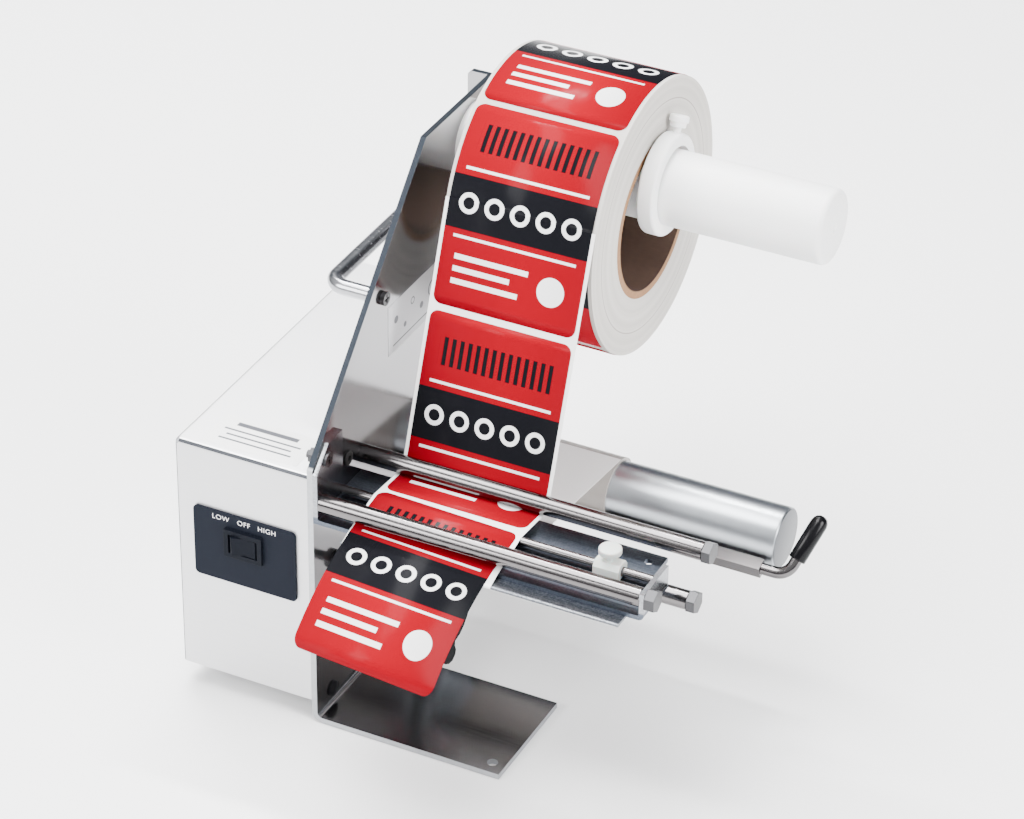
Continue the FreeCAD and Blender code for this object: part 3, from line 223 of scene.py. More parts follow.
# Side plate: one mirror-bright stainless sheet, cut to a slope, with a foot bent to the right
# and a narrow flange at the rear. Its edges are sheared and lightly broken; the cut edge along
# the slope is painted near black, a painted dark reflection.
def dressed(name, source, material, edge=0.0, body="machine", angle=35, recess=None, rim=None):
    """A copy of a node's shape with merged corners, eased edges and smooth round faces.

    recess gives its round heads that look that way a cross recess; rim holds the materials of
    a sheet's cut edges and of its bends."""
    shape = bmesh.new()
    shape.from_mesh(nodes[source].data)
    bmesh.ops.remove_doubles(shape, verts=shape.verts, dist=0.000002)
    bmesh.ops.dissolve_limit(shape, angle_limit=math.radians(0.5), verts=shape.verts,
                             edges=shape.edges)
    if recess is not None:
        crossed(shape, Vector(recess))
    shape.faces.index_update()
    strips = [strip_kind(f) for f in shape.faces]
    item = finished(name, shape, material, edge, body, angle, [source])
    if rim:
        for extra in rim:
            item.data.materials.append(extra)
        for index, kind in enumerate(strips):
            item.data.polygons[index].material_index = kind if kind <= len(rim) else 0
    return item


thickest_sheet = 0.0031
shortest_side = 0.004
shortest_bend = 0.05


def strip_kind(face):
    """1 on the narrow cut edge of a sheet, 2 on the long strips half way round a bend, else 0."""
    if 2 * face.calc_area() > thickest_sheet * face.calc_perimeter():
        return 0
    longest = max(face.edges, key=lambda e: e.calc_length())
    if longest.calc_length() < shortest_side or longest.calc_face_angle(0) > 1:
        return 1
    slanted = max(abs(part) for part in face.normal) < 0.9
    return 2 if slanted and longest.calc_length() > shortest_bend else 0


def crossed(shape, outward):
    """Sink a cross recess in every round head that looks outward."""
    arm_share, slot_share, slot_depth = 0.62, 0.2, 0.0007
    heads = [f for f in shape.faces if f.normal.dot(outward) > 0.999 and len(f.verts) > 10]
    for head in heads:
        centre = head.calc_center_median()
        reach = max((v.co - centre).length for v in head.verts) * arm_share
        lie = Vector((outward.y, outward.z, outward.x))
        across = outward.cross(lie)
        faces = [head]
        for direction in (lie, across):
            for offset in (-reach, -reach * slot_share, reach * slot_share, reach):
                edges = {e for f in faces for e in f.edges}
                verts = {v for f in faces for v in f.verts}
                cut = bmesh.ops.bisect_plane(
                    shape, geom=list(verts) + list(edges) + faces, dist=0.000001,
                    plane_co=centre + direction * offset, plane_no=direction)
                faces = [g for g in cut["geom"] if isinstance(g, bmesh.types.BMFace)]
        sunk = []
        for face in faces:
            away_from = face.calc_center_median() - centre
            a, b = abs(away_from.dot(lie)), abs(away_from.dot(across))
            if max(a, b) < reach and min(a, b) < reach * slot_share:
                sunk.append(face)
        pushed = bmesh.ops.extrude_face_region(shape, geom=sunk)["geom"]
        bmesh.ops.delete(shape, geom=sunk, context="FACES_ONLY")
        bmesh.ops.translate(shape, vec=outward * -slot_depth,
                            verts=[g for g in pushed if isinstance(g, bmesh.types.BMVert)])


def finished(name, shape, material, edge, body, angle, sources=()):
    """Make the object, ease its sharp edges, and let it ride on its body."""
    mesh = bpy.data.meshes.new(name)
    shape.to_mesh(mesh)
    shape.free()
    mesh.polygons.foreach_set("use_smooth", [True] * len(mesh.polygons))
    mesh.set_sharp_from_angle(angle=math.radians(angle))
    item = bpy.data.objects.new(name, mesh)
    scene.collection.objects.link(item)
    mesh.materials.append(material)
    if edge:
        ease = item.modifiers.new("eased_edges", "BEVEL")
        ease.width = edge
        ease.segments = 2
        ease.limit_method = "ANGLE"
        ease.angle_limit = math.radians(angle)
        ease.harden_normals = True
    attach(item, body)
    if sources:
        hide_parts(*sources)
    return item


def bump(height, strength, distance):
    return height.node("ShaderNodeBump", None, {
        "Height": height, "Strength": strength, "Distance": distance})


mirror_plate, start, shader = finish("bright_stainless", (0.28, 0.275, 0.28), 1.0, 0.14)
streak = noise(start, 1.0, 6.0, (40, 900, 12))
blotch = noise(start, 9.0, 3.0)
feed(shader, Roughness=streak * 0.08 + blotch * 0.10 + 0.05, Normal=bump(streak, 0.15, 0.00001),
     Base_Color=mix(blotch, (0.22, 0.215, 0.225), (0.34, 0.335, 0.34)))
sheared, start, shader = finish("sheared_edge_slope_shade", (0.36, 0.37, 0.38), 1.0, 0.5)
burr = noise(start, 1.0, 4.0, (500, 500, 500))
# Painted shade: above slope_start the cut edge is coloured near black for the dark reflection
# there; elsewhere it is grey burred steel.
slope_start = 0.1515
slope_painted_dark = start.axis(2).step(slope_start, 0.0006)
feed(shader, Roughness=burr * 0.2 + 0.36,
     Base_Color=mix(slope_painted_dark, mix(burr, (0.30, 0.31, 0.33), (0.46, 0.47, 0.48)),
                    mix(burr, (0.015, 0.018, 0.023), (0.032, 0.037, 0.045))))
dressed("upright_plate", "side_plate", mirror_plate, 0.0002, rim=[sheared])

# Motor case: a folded cover of light brushed stainless sheet around the gear motor and the
# board, closed by a floor pan and a vented back panel held by four screws.
case_steel, start, shader = finish("case_stainless", (0.66, 0.66, 0.67), 0.75, 0.46)
fine = noise(start, 1.0, 6.0, (6, 6, 700))
wide = noise(start, 14.0, 3.0)
# Painted light: above lid_bend the top gets a paler colour than the walls, as the top takes more
# light.
lid_bend = 0.1455
lit_top_mask = start.axis(2).step(lid_bend, 0.0006)
feed(shader, Roughness=fine * 0.16 + wide * 0.08 + 0.34, Normal=bump(fine, 0.25, 0.00002),
     Base_Color=mix(lit_top_mask, mix(fine * 0.7 + wide * 0.3, (0.57, 0.57, 0.58), (0.68, 0.68, 0.69)),
                    (0.88, 0.88, 0.89)))
# Painted shade: the strips half way round the case's bends are coloured near black, a painted
# dark line along each bend.
bend_shade, start, shader = finish("bend_painted_shade", (0.04, 0.042, 0.048), 1.0, 0.4)
feed(shader, Roughness=noise(start, 200.0) * 0.2 + 0.3,
     Base_Color=mix(noise(start, 60.0), (0.022, 0.024, 0.028), (0.060, 0.063, 0.070)))
for word, source in (("motor_case", "case_cover"), ("case_pan", "case_floor"),
                     ("case_rear", "case_back")):
    dressed(word, source, case_steel, 0.0002, rim=[sheared, bend_shade])


# Screws, nuts and bolts of speckled grey steel, turned and screwed in. The round heads have a
# cross recess; the hexagon bolts hold the rods' ends and the hub.
def brushed(name, colour, rough, grain):
    """Brushed metal: fine streaks along one axis in the shine and the surface."""
    material, start, shader = finish(name, colour, 1.0, rough)
    fine = noise(start, 1.0, 6.0, grain)
    wide = noise(start, 14.0, 3.0)
    pale = tuple(min(1, c * 1.07) for c in colour)
    dark = tuple(c * 0.86 for c in colour)
    feed(shader, Roughness=fine * 0.16 + wide * 0.08 + (rough - 0.12),
         Normal=bump(fine, 0.25, 0.00002), Base_Color=mix(fine * 0.7 + wide * 0.3, dark, pale))
    return material


bolt_steel = brushed("turned_steel", (0.062, 0.062, 0.065), 0.36, (1500, 1500, 1500))
for fixing, outward in (("case_screws", (0, 1, 0)), ("foot_screws", (0, 0, -1)),
                        ("gearbox_screws", (1, 0, 0)), ("board_screws", (0, 0, 1)),
                        ("handle_screws", (1, 0, 0)), ("ear_screw", (1, 0, 0)),
                        ("foot_nuts", None), ("inlet_nut", None), ("hub_bolt", None),
                        ("rod_bolts", None)):
    dressed(fixing + "_fitted", fixing, bolt_steel, 0.0002, "machine", 40, outward)

# Rubber feet under the case, moulded with a slight taper and screwed on, and the rubber
# grommet pressed into the side plate.
rubber, start, shader = finish("foot_rubber", (0.006, 0.006, 0.006), 0, 0.75,
                               Specular_IOR_Level=0.25)
grit = noise(start, 900.0, 3.0)
feed(shader, Roughness=grit * 0.2 + 0.62, Normal=bump(grit, 0.3, 0.00005),
     Base_Color=mix(grit, (0.003, 0.003, 0.003), (0.010, 0.010, 0.010)))
dressed("rubber_feet_moulded", "rubber_feet", rubber, 0.0004)
dressed("cable_grommet", "grommet", rubber, 0.0003)

# Switch: a slate plate on the case front, with a moulded frame set in it and a rocker of the
# same dark tone that tilts in the frame.
plate_paint, start, shader = finish("switch_plate_film", (0.007, 0.009, 0.0145), 0, 0.6,
                                    Specular_IOR_Level=0.05)
fleck = noise(start, 1400.0, 2.0)
feed(shader, Roughness=fleck * 0.15 + 0.5,
     Base_Color=mix(fleck, (0.0055, 0.0072, 0.0120), (0.0085, 0.0108, 0.0170)))
dressed("switch_face", "switch_plate", plate_paint, 0.0003)
slate, start, shader = finish("moulded_slate", (0.004, 0.0052, 0.0085), 0, 0.5,
                              Specular_IOR_Level=0.05)
pebble = noise(start, 2200.0, 2.0)
feed(shader, Roughness=pebble * 0.16 + 0.42, Normal=bump(pebble, 0.12, 0.00002),
     Base_Color=mix(pebble, (0.0032, 0.0042, 0.0070), (0.0050, 0.0064, 0.0100)))
dressed("switch_frame", "switch_body", slate, 0.0003)
dressed("rocker_key", "rocker", slate, 0.0004, "rocker_body")

# Black moulded parts: the power inlet, held in the case back by its nut, the blanking plug in the
# side plate, and the label's sensing lever with its bush and the micro switch that it works.
black, start, shader = finish("moulded_black", (0.003, 0.003, 0.004), 0, 0.35,
                              Specular_IOR_Level=0.06)
pebble = noise(start, 2200.0, 2.0)
feed(shader, Roughness=pebble * 0.20 + 0.52, Normal=bump(pebble, 0.12, 0.00002),
     Base_Color=mix(pebble, (0.002, 0.002, 0.003), (0.006, 0.006, 0.007)))
for word, body in (("power_inlet", "machine"), ("blanking_plug", "machine"),
                   ("sensor_bush", "machine"), ("sensor_lever", "sensor"),
                   ("micro_switch", "machine")):
    dressed(word + "_moulded", word, black, 0.0003, body)

# Speed words: LOW, OFF and HIGH, printed in white ink on the switch plate above the rocker. Each
# is set as text and then made a thin mesh.
legend_white, start, shader = finish("legend_ink", (0.85, 0.86, 0.86), 0, 0.5)
feed(shader, Roughness=noise(start, 800.0) * 0.2 + 0.4)
low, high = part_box("switch_plate")
switch_middle = (low.x + high.x) / 2
word_step, word_size, ink_thick, legend_z = 0.0130, 0.0040, 0.00004, 0.1084
for word, across in (("LOW", -word_step), ("OFF", 0.0), ("HIGH", word_step)):
    letters = bpy.data.curves.new("legend_" + word.lower(), "FONT")
    letters.body = word
    letters.size = word_size
    letters.space_character = 1.1
    letters.align_x = "CENTER"
    letters.align_y = "CENTER"
    letters.extrude = ink_thick
    letters.offset = -ink_thick
    source = bpy.data.objects.new("legend_source", letters)
    scene.collection.objects.link(source)
    bpy.context.view_layer.update()
    mesh = bpy.data.meshes.new_from_object(source)
    bpy.data.objects.remove(source)
    mesh.transform(Matrix.Translation((switch_middle + across, low.y - ink_thick, legend_z))
                   @ Matrix.Rotation(math.radians(90), 4, "X"))
    mesh.name = "legend_" + word.lower()
    mesh.materials.clear()
    mesh.materials.append(legend_white)
    item = bpy.data.objects.new("legend_" + word.lower(), mesh)
    scene.collection.objects.link(item)
    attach(item, "machine")

# Inside the case: the zinc-plated gear motor with its brass terminals, screwed to the side
# plate, and the green control board with its parts on four brass stand-offs.
motor_zinc = brushed("zinc_plate", (0.52, 0.52, 0.53), 0.38, (500, 20, 20))
brass = brushed("brass_tab", (0.72, 0.56, 0.26), 0.32, (300, 300, 60))
for word, material, slot in (("gearbox", motor_zinc, "motor_steel"),
                             ("motor", motor_zinc, "motor_steel"),
                             ("motor_terminals", brass, "brass_tab"),
                             ("board_standoffs", brass, "brass_tab"),
                             ("board_parts", black, "black_plastic")):
    dressed(word + "_fitted", word, material, 0.0002)
board_green, start, shader = finish("solder_mask", (0.01, 0.10, 0.04), 0, 0.35)
traces = noise(start, 500.0, 2.0, (1, 0.2, 1))
feed(shader, Roughness=traces * 0.2 + 0.25,
     Base_Color=mix(traces.step(0.52, 0.01), (0.008, 0.09, 0.035), (0.02, 0.16, 0.06)))
dressed("control_board_etched", "control_board", board_green)


# Guide rods: polished 9.5 mm bars and one thin bar on the bracket, bored at the ends. They are
# turned, so the grinding marks run round them.
def spun(name, points, centre, material, body, sources, steps=96):
    """Spin (along, radius) points round the line through centre that runs along X."""
    shape = bmesh.new()
    ring = [shape.verts.new((a, r, 0)) for a, r in points]
    for first, second in zip(ring, ring[1:]):
        shape.edges.new((first, second))
    bmesh.ops.spin(shape, geom=shape.verts[:] + shape.edges[:], cent=(0, 0, 0), axis=(1, 0, 0),
                   angle=math.tau, steps=steps, use_merge=True, use_duplicate=False)
    bmesh.ops.remove_doubles(shape, verts=shape.verts, dist=0.0000005)
    bmesh.ops.recalc_face_normals(shape, faces=shape.faces)
    bmesh.ops.translate(shape, vec=centre, verts=shape.verts)
    return finished(name, shape, material, 0, body, 30, sources)


def circle(node):
    """The middle line and the radius of a round node that lies along X."""
    low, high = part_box(node)
    return Vector((0, (low.y + high.y) / 2, (low.z + high.z) / 2)), (high.z - low.z) / 2


rod_break = 0.0004
rod_polish, start, shader = finish("polished_bar", (0.14, 0.13, 0.13), 1.0, 0.14)
rings = noise(start, 1.0, 5.0, (2600, 40, 40))
lengthwise = noise(start, 30.0, 3.0, (0.4, 1, 1))
feed(shader, Roughness=rings * 0.06 + lengthwise * 0.06 + 0.11,
     Normal=bump(rings, 0.2, 0.00001),
     Base_Color=mix(lengthwise, (0.10, 0.094, 0.095), (0.17, 0.162, 0.163)))
for word in ("upper_rod", "front_rod", "return_rod", "guide_rod"):
    low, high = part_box(word)
    rod_line, radius = circle(word)
    left = low.x if word != "front_rod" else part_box("guide_rod")[0].x
    points = [(left, 0), (left, radius - rod_break), (left + rod_break, radius),
              (high.x - rod_break, radius), (high.x, radius - rod_break), (high.x, 0)]
    spun(word + "_polished", points, rod_line, rod_polish, "machine", [word])

# Web bracket with its two ears and the peel plate welded below it: bent stainless sheet,
# speckled;
# where the web runs it is painted dark, a painted dark reflection, and the ears are painted
# brighter.
ear_start = 0.1245
for word, source, ease, dark, pale in (
        ("strip_bracket_bent", "strip_bracket", 0.00025,
         (0.060, 0.070, 0.090), (0.105, 0.120, 0.145)),
        ("peel_plate_bent", "peel_plate", 0.0001,
         (0.070, 0.078, 0.095), (0.230, 0.240, 0.260))):
    sheet, start, shader = finish(source + "_stainless", pale, 1.0, 0.36)
    speckle = noise(start, 1100.0, 3.0)
    streak = noise(start, 1.0, 5.0, (30, 900, 900))
    grain = (speckle * 0.6 + streak * 0.4).step(0.5, 0.2)
    # Painted reflection: below ear_start the bracket gets the dark colours, on the ears above it
    # the brighter ones.
    on_ear = start.axis(2).step(ear_start, 0.0006)
    feed(shader, Roughness=speckle * 0.10 + streak * 0.06 + on_ear * -0.14 + 0.28,
         Normal=bump(speckle, 0.2, 0.000006),
         Base_Color=mix(on_ear, mix(grain, dark, pale),
                        mix(grain, (0.20, 0.205, 0.22), (0.32, 0.33, 0.35))))
    dressed(word, source, sheet, ease)

# Carrying handle: a round bar of drawn steel, bent to a bow and held to the side plate by two
# screws in its ends.
handle_steel = brushed("drawn_bar", (0.36, 0.365, 0.38), 0.24, (60, 900, 900))
dressed("handle_bow", "carry_handle", handle_steel, 0, "machine", 40)

# Supply hub: a turned white nylon tube with a rounded end, a collar with soft edges that
# slides on it, and the collar's two-step thumb screw. The edge guide that slides on the
# thin rod is milled from natural nylon.
nylon, start, shader = finish("white_nylon", (0.93, 0.93, 0.925), 0, 0.42,
                              Subsurface_Weight=0.08, Subsurface_Scale=0.002)
tool_marks = noise(start, 1.0, 3.0, (1800, 60, 60))
cloud = noise(start, 20.0, 2.0)
feed(shader, Roughness=tool_marks * 0.10 + cloud * 0.08 + 0.34,
     Normal=bump(tool_marks, 0.12, 0.00002),
     Base_Color=mix(cloud, (0.91, 0.91, 0.905), (0.95, 0.95, 0.945)))
low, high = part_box("hub_tube")
hub_line, hub_r = circle("hub_tube")
quarter = [a * math.pi / 16 for a in range(9)]
bolt_r, hub_round, collar_round, bore_gap = 0.004, 0.003, 0.0016, 0.001
dimple_r, dimple_floor_r, dimple_depth = 0.0024, 0.0018, 0.0008
round_end = [(high.x - hub_round * (1 - math.sin(a)), hub_r - hub_round * (1 - math.cos(a)))
             for a in quarter]
points = ([(low.x, bolt_r), (low.x, hub_r)] + round_end
          + [(high.x, dimple_r), (high.x - dimple_depth, dimple_floor_r),
             (high.x - dimple_depth, 0)])
spun("hub_turned", points, hub_line, nylon, "machine", ["hub_tube"])
low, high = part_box("hub_collar")
collar_line, collar_r = circle("hub_collar")
left_round = [(low.x + collar_round * (1 - math.cos(a)),
               collar_r - collar_round * (1 - math.sin(a))) for a in quarter]
right_round = [(high.x - collar_round * (1 - math.sin(a)),
                collar_r - collar_round * (1 - math.cos(a))) for a in quarter]
points = ([(low.x, hub_r + bore_gap)] + left_round + right_round
          + [(high.x, hub_r + bore_gap), (low.x, hub_r + bore_gap)])
spun("collar_turned", points, collar_line, nylon, "collar", ["hub_collar"])
natural, start, shader = finish("natural_nylon", (0.60, 0.63, 0.60), 0, 0.35,
                                Subsurface_Weight=0.25, Subsurface_Scale=0.003)
cloud = noise(start, 90.0, 2.0)
feed(shader, Roughness=cloud * 0.12 + 0.30,
     Base_Color=mix(cloud, (0.54, 0.575, 0.545), (0.68, 0.705, 0.67)))
for word, source, material, ease, body in (
        ("collar_thumb_screw", "hub_thumb_screw", nylon, 0.0007, "collar_screw"),
        ("edge_guide_milled", "edge_guide", natural, 0.0005, "guide"),
        ("guide_disc_screw", "edge_guide_screw", natural, 0.0005, "guide_screw"),
        ("sensor_cam_moulded", "sensor_cam", nylon, 0.0003, "sensor")):
    dressed(word, source, material, ease, body, 40)

# Winding drum: a satin turned aluminium tube on its flange, closed by a cap, with the empty
# liner already wound on it and the bent liner clamp with its dipped black grip.
drum_alu, start, shader = finish("satin_aluminium", (0.42, 0.45, 0.48), 1.0, 0.32)
rings = noise(start, 1.0, 5.0, (2200, 30, 30))
soft = noise(start, 12.0, 2.0)
drum_line, drum_r = circle("drum_tube")
tube_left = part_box("drum_tube")[0].x
cap_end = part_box("drum_cap")[1].x
drum_round = 0.0016
# Painted shade: the cap's end face is coloured near black, far darker than the tube of the same
# aluminium.
end_face = start.axis(0).step(cap_end - 0.0004, 0.0003)
tube_tone = mix(soft, (0.36, 0.385, 0.41), (0.46, 0.485, 0.51))
feed(shader, Roughness=rings * 0.08 + soft * 0.06 + 0.25, Normal=bump(rings, 0.06, 0.000004),
     Base_Color=mix(end_face, tube_tone, (0.085, 0.090, 0.098)))
points = [(tube_left, drum_r - drum_round), (tube_left, drum_r), (cap_end - drum_round, drum_r),
          (cap_end - drum_round / 2, drum_r - drum_round / 8),
          (cap_end - drum_round / 8, drum_r - drum_round / 2),
          (cap_end, drum_r - drum_round), (cap_end, 0)]
spun("drum_turned", points, drum_line, drum_alu, "drum", ["drum_tube", "drum_cap"])
dressed("drum_flange", "drum_hub", drum_alu, 0.0003, "drum")
dressed("output_shaft_turned", "output_shaft", bolt_steel, 0.0003, "drum")
dressed("sensor_shaft_turned", "sensor_shaft", bolt_steel, 0.0003, "sensor")
dressed("clamp_bar_bent", "clamp_bar", rod_polish, 0.0003, "clamp", 40)
dip, start, shader = finish("dipped_vinyl", (0.002, 0.002, 0.003), 0, 0.24,
                            Specular_IOR_Level=0.16)
skin = noise(start, 150.0, 2.0)
feed(shader, Roughness=skin * 0.06 + 0.20,
     Base_Color=mix(skin, (0.0015, 0.0015, 0.002), (0.003, 0.003, 0.004)))
dressed("clamp_grip_dipped", "clamp_grip", dip, 0.0005, "clamp", 40)


# Core: a tube of wound brown board that the roll is wound on, hanging on the hub. It is pale
# and speckled at the cut rim; in the bore the brown board is painted darker, painted shade inside
# the tube.
def length_of(first, second):
    """The length of a flat vector from its two parts."""
    return (first * first + second * second).math("POWER", 0.5)


core_wall = 0.0039
core_low, core_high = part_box("supply_core")
roll_line, core_out = circle("supply_core")
core_in = core_out - core_wall
board, start, shader = finish("core_board", (0.25, 0.14, 0.07), 0, 0.85, Specular_IOR_Level=0.2)
fibre = noise(start, 900.0, 4.0, (0.3, 1, 1))
patch = noise(start, 60.0, 3.0)
off_y = start.axis(1) - roll_line.y
off_z = start.axis(2) - roll_line.z
# Painted shade: inside the bore the board gets the darker grey-brown, outside it the tan.
outside_bore = length_of(off_y, off_z).step(core_in + 0.0003, 0.0002)
grey_brown = mix(fibre * 0.6 + patch * 0.4, (0.070, 0.043, 0.032), (0.115, 0.071, 0.054))
tan = mix(fibre, (0.19, 0.095, 0.042), (0.34, 0.19, 0.10))
feed(shader, Roughness=fibre * 0.2 + 0.72, Normal=bump(fibre, 0.35, 0.00008),
     Base_Color=mix(outside_bore, grey_brown, tan))
points = [(core_low.x, core_in), (core_low.x, core_out), (core_high.x, core_out),
          (core_high.x, core_in), (core_low.x, core_in)]
spun("core_wound", points, roll_line, board, "roll", ["supply_core"], 128)

# Label roll: hundreds of turns of liner and labels; the sides show the turns as faint rings
# with one darker turn a third of the way in.
roll_low, roll_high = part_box("supply_roll")
roll_r = 0.071
paper_side, start, shader = finish("roll_side", (0.5, 0.49, 0.475), 0, 0.7,
                                   Specular_IOR_Level=0.2)
off_y = start.axis(1) - roll_line.y
off_z = start.axis(2) - roll_line.z
radius = length_of(off_y, off_z)
turns = start.node("ShaderNodeTexNoise", {"noise_dimensions": "1D"}, {
    "W": radius * 3200.0, "Scale": 1.0, "Detail": 3.0})
broad = start.node("ShaderNodeTexNoise", {"noise_dimensions": "1D"}, {
    "W": radius * 260.0, "Scale": 1.0, "Detail": 2.0})
dark_turn = radius.between(0.0592, 0.0598, 0.0002) * 0.55
sides_tone = mix(turns * 0.55 + broad * 0.45, (0.36, 0.34, 0.315), (0.68, 0.65, 0.61))
feed(shader, Roughness=turns * 0.2 + 0.6, Normal=bump(turns, 0.25, 0.00008),
     Base_Color=mix(dark_turn, sides_tone, (0.10, 0.07, 0.06)))
under_labels = roll_r - 0.0003
points = [(roll_low.x, core_out), (roll_low.x, under_labels), (roll_high.x, under_labels),
          (roll_high.x, core_out), (roll_low.x, core_out)]
spun("label_roll_wound", points, roll_line, paper_side, "roll", ["supply_roll"], 192)

# Backing liner: a pale glazed paper strip from the roll, under the upper rod, over the thin
# rod, round the peel plate's edge and back below the bracket to the winding drum. The turns
# already wound on the drum are painted darker and browner: painted shade under the liner return.
glassine, start, shader = finish("glazed_liner", (0.90, 0.89, 0.87), 0, 0.42)
fibre = noise(start, 500.0, 4.0)
cloudy = noise(start, 25.0, 2.0)
feed(shader, Roughness=fibre * 0.12 + 0.34,
     Base_Color=mix(fibre * 0.5 + cloudy * 0.5, (0.86, 0.85, 0.83), (0.93, 0.92, 0.91)))
for word in ("web_liner", "liner_return"):
    dressed(word + "_glazed", word, glassine, 0, "machine", 40)
# Painted shade: the wound turns get a darker grey-brown than the liner's own pale paper.
wound_paper_painted_shade, start, shader = finish("wound_paper_painted_shade", (0.34, 0.31, 0.29), 0, 0.42)
mottle = noise(start, 25.0, 2.0)
feed(shader, Roughness=mottle * 0.10 + 0.34,
     Base_Color=mix(mottle, (0.26, 0.235, 0.215), (0.40, 0.37, 0.35)))
low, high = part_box("wound_liner")
wound_r = (high.z - low.z) / 2
points = [(low.x, drum_r), (low.x, wound_r), (high.x, wound_r), (high.x, drum_r), (low.x, drum_r)]
spun("liner_wound", points, drum_line, wound_paper_painted_shade, "drum", ["wound_liner"])

# Labels: glossy red stock, 76 mm wide and 102 mm long with rounded corners, 3 mm apart. The
# print is a plain pattern on the label's own map: a dark crosswise band with white rings,
# white rules beside it, a disc with bars before it and a row of ticks behind it.
paper = 0.0002
gap = 0.00005
roll_gap = 0.0003
bracket_sheet = 0.0025
span_step, bend_steps = 0.004, 8
upper, upper_r = circle("upper_rod")
thin, thin_r = circle("guide_rod")
bracket_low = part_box("strip_bracket")[0]
peel_low, peel_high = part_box("peel_plate")
peel_half = (peel_high.z - peel_low.z) / 2
bracket_edge = Vector((bracket_low.y, bracket_low.z + bracket_sheet))
nose = Vector((peel_low.y + peel_half, peel_low.z + peel_half))
way = [(roll_line.yz, roll_r + roll_gap + paper, 1), (upper.yz, upper_r + gap + paper, -1),
       (thin.yz, thin_r + gap + paper, 1), (bracket_edge, gap + paper, 1),
       (nose, peel_half + gap + paper, 1)]
sides = []
for (c0, r0, k0), (c1, r1, k1) in zip(way, way[1:]):
    gone = c1 - c0
    q = k0 * r0 - k1 * r1
    rest = math.sqrt(gone.length_squared - q * q)
    sides.append((q * gone + rest * Vector((gone.y, -gone.x))) / gone.length_squared)
steps = []
ends = []
for i, side in enumerate(sides):
    (c0, r0, k0), (c1, r1, k1) = way[i:i + 2]
    first, last = c0 + side * k0 * r0, c1 + side * k1 * r1
    pieces = max(2, int((last - first).length / span_step))
    ends.append((len(steps), len(steps) + pieces))
    steps += [(first.lerp(last, n / pieces), side) for n in range(pieces)]
    if i + 1 < len(sides):
        for n in range(bend_steps):
            bent = side.lerp(sides[i + 1], n / bend_steps).normalized()
            steps.append((c1 + bent * k1 * r1, bent))
point, side = last, sides[-1]
steps.append((point, side))
droop_steps, droop_start, droop_more, droop_length = 40, 20.05, 27.3, 0.0626
for n in range(droop_steps):
    droop = math.radians(droop_start + droop_more * (n + 0.5) / droop_steps)
    point = point + Vector((-math.cos(droop), -math.sin(droop))) * droop_length / droop_steps
    steps.append((point, Vector((-math.sin(droop), math.cos(droop)))))
reach = [0.0]
for (p0, _), (p1, _) in zip(steps, steps[1:]):
    reach.append(reach[-1] + (p1 - p0).length)


seam, climb_length, climb_height, sunk_in = 0.0004, 0.025, 0.0003, 0.0002


def on_way(s):
    """Point and normal at distance s along the web; behind 0 it is wound on the roll."""
    if s < -seam:
        angle = math.atan2(sides[0].y, sides[0].x) + s / roll_r
        normal = Vector((math.cos(angle), math.sin(angle)))
        rising = max(0.0, 1 + s / climb_length)
        lie = roll_r - sunk_in + climb_height * rising * rising
        return roll_line.yz + normal * lie, normal
    i = next((n for n in range(len(reach) - 2) if reach[n + 1] >= s), len(reach) - 2)
    share = (s - reach[i]) / (reach[i + 1] - reach[i])
    point = steps[i][0].lerp(steps[i + 1][0], share)
    return point, steps[i][1].lerp(steps[i + 1][1], share).normalized()


def along_span(which, share):
    """Distance along the web of a share of one of its straight spans."""
    first, last = ends[which]
    return reach[first] * (1 - share) + reach[last] * share


stock, start, shader = finish("printed_label", (0.235, 0.0, 0.007), 0, 0.24,
                              Specular_IOR_Level=0.035)
print_map = start.node("ShaderNodeUVMap", {"uv_map": "print"})
u = print_map.axis(0)
v = print_map.axis(1)
charcoal = v.between(0.36, 0.62, 0.0015) + (
    v.between(0.10, 0.24, 0.0015) * u.between(0.10, 0.90, 0.002)
    * (u * 17.5).math("FRACT").between(0.25, 0.75, 0.03))
white = (v.between(0.318, 0.332, 0.001) + v.between(0.648, 0.662, 0.001)) * u.between(
    0.07, 0.93, 0.002)
label_wide, label_long = 0.762, 1.016
for spot in (0.14, 0.32, 0.50, 0.68, 0.86):
    off_u = (u - spot) * label_wide
    off_v = (v - 0.49) * label_long
    white = white + length_of(off_u, off_v).between(0.030, 0.052, 0.0015)
for low_v, high_u in ((0.74, 0.62), (0.80, 0.50), (0.86, 0.57)):
    white = white + v.between(low_v, low_v + 0.026, 0.001) * u.between(0.10, high_u, 0.0015)
off_u = (u - 0.79) * label_wide
off_v = (v - 0.81) * label_long
white = white + 1 - length_of(off_u, off_v).step(0.072, 0.0015)
ink = mix(charcoal.math("MINIMUM", 1.0), (0.235, 0.0, 0.007), (0.0060, 0.0062, 0.0080))
ink = mix(white.math("MINIMUM", 1.0), ink, (0.88, 0.88, 0.88))
grain = noise(start, 400.0, 3.0)
feed(shader, Base_Color=ink, Roughness=grain * 0.03 + 0.20)
low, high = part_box("web_labels")
half_across = (high.x - low.x) / 2
across_middle = (high.x + low.x) / 2
length = 0.1016
label_gap = 0.003
corner_r = 0.0045
slice_length = 0.0012
slice_margin = 0.002
label_lift = 0.00002
label_thick = 0.00015


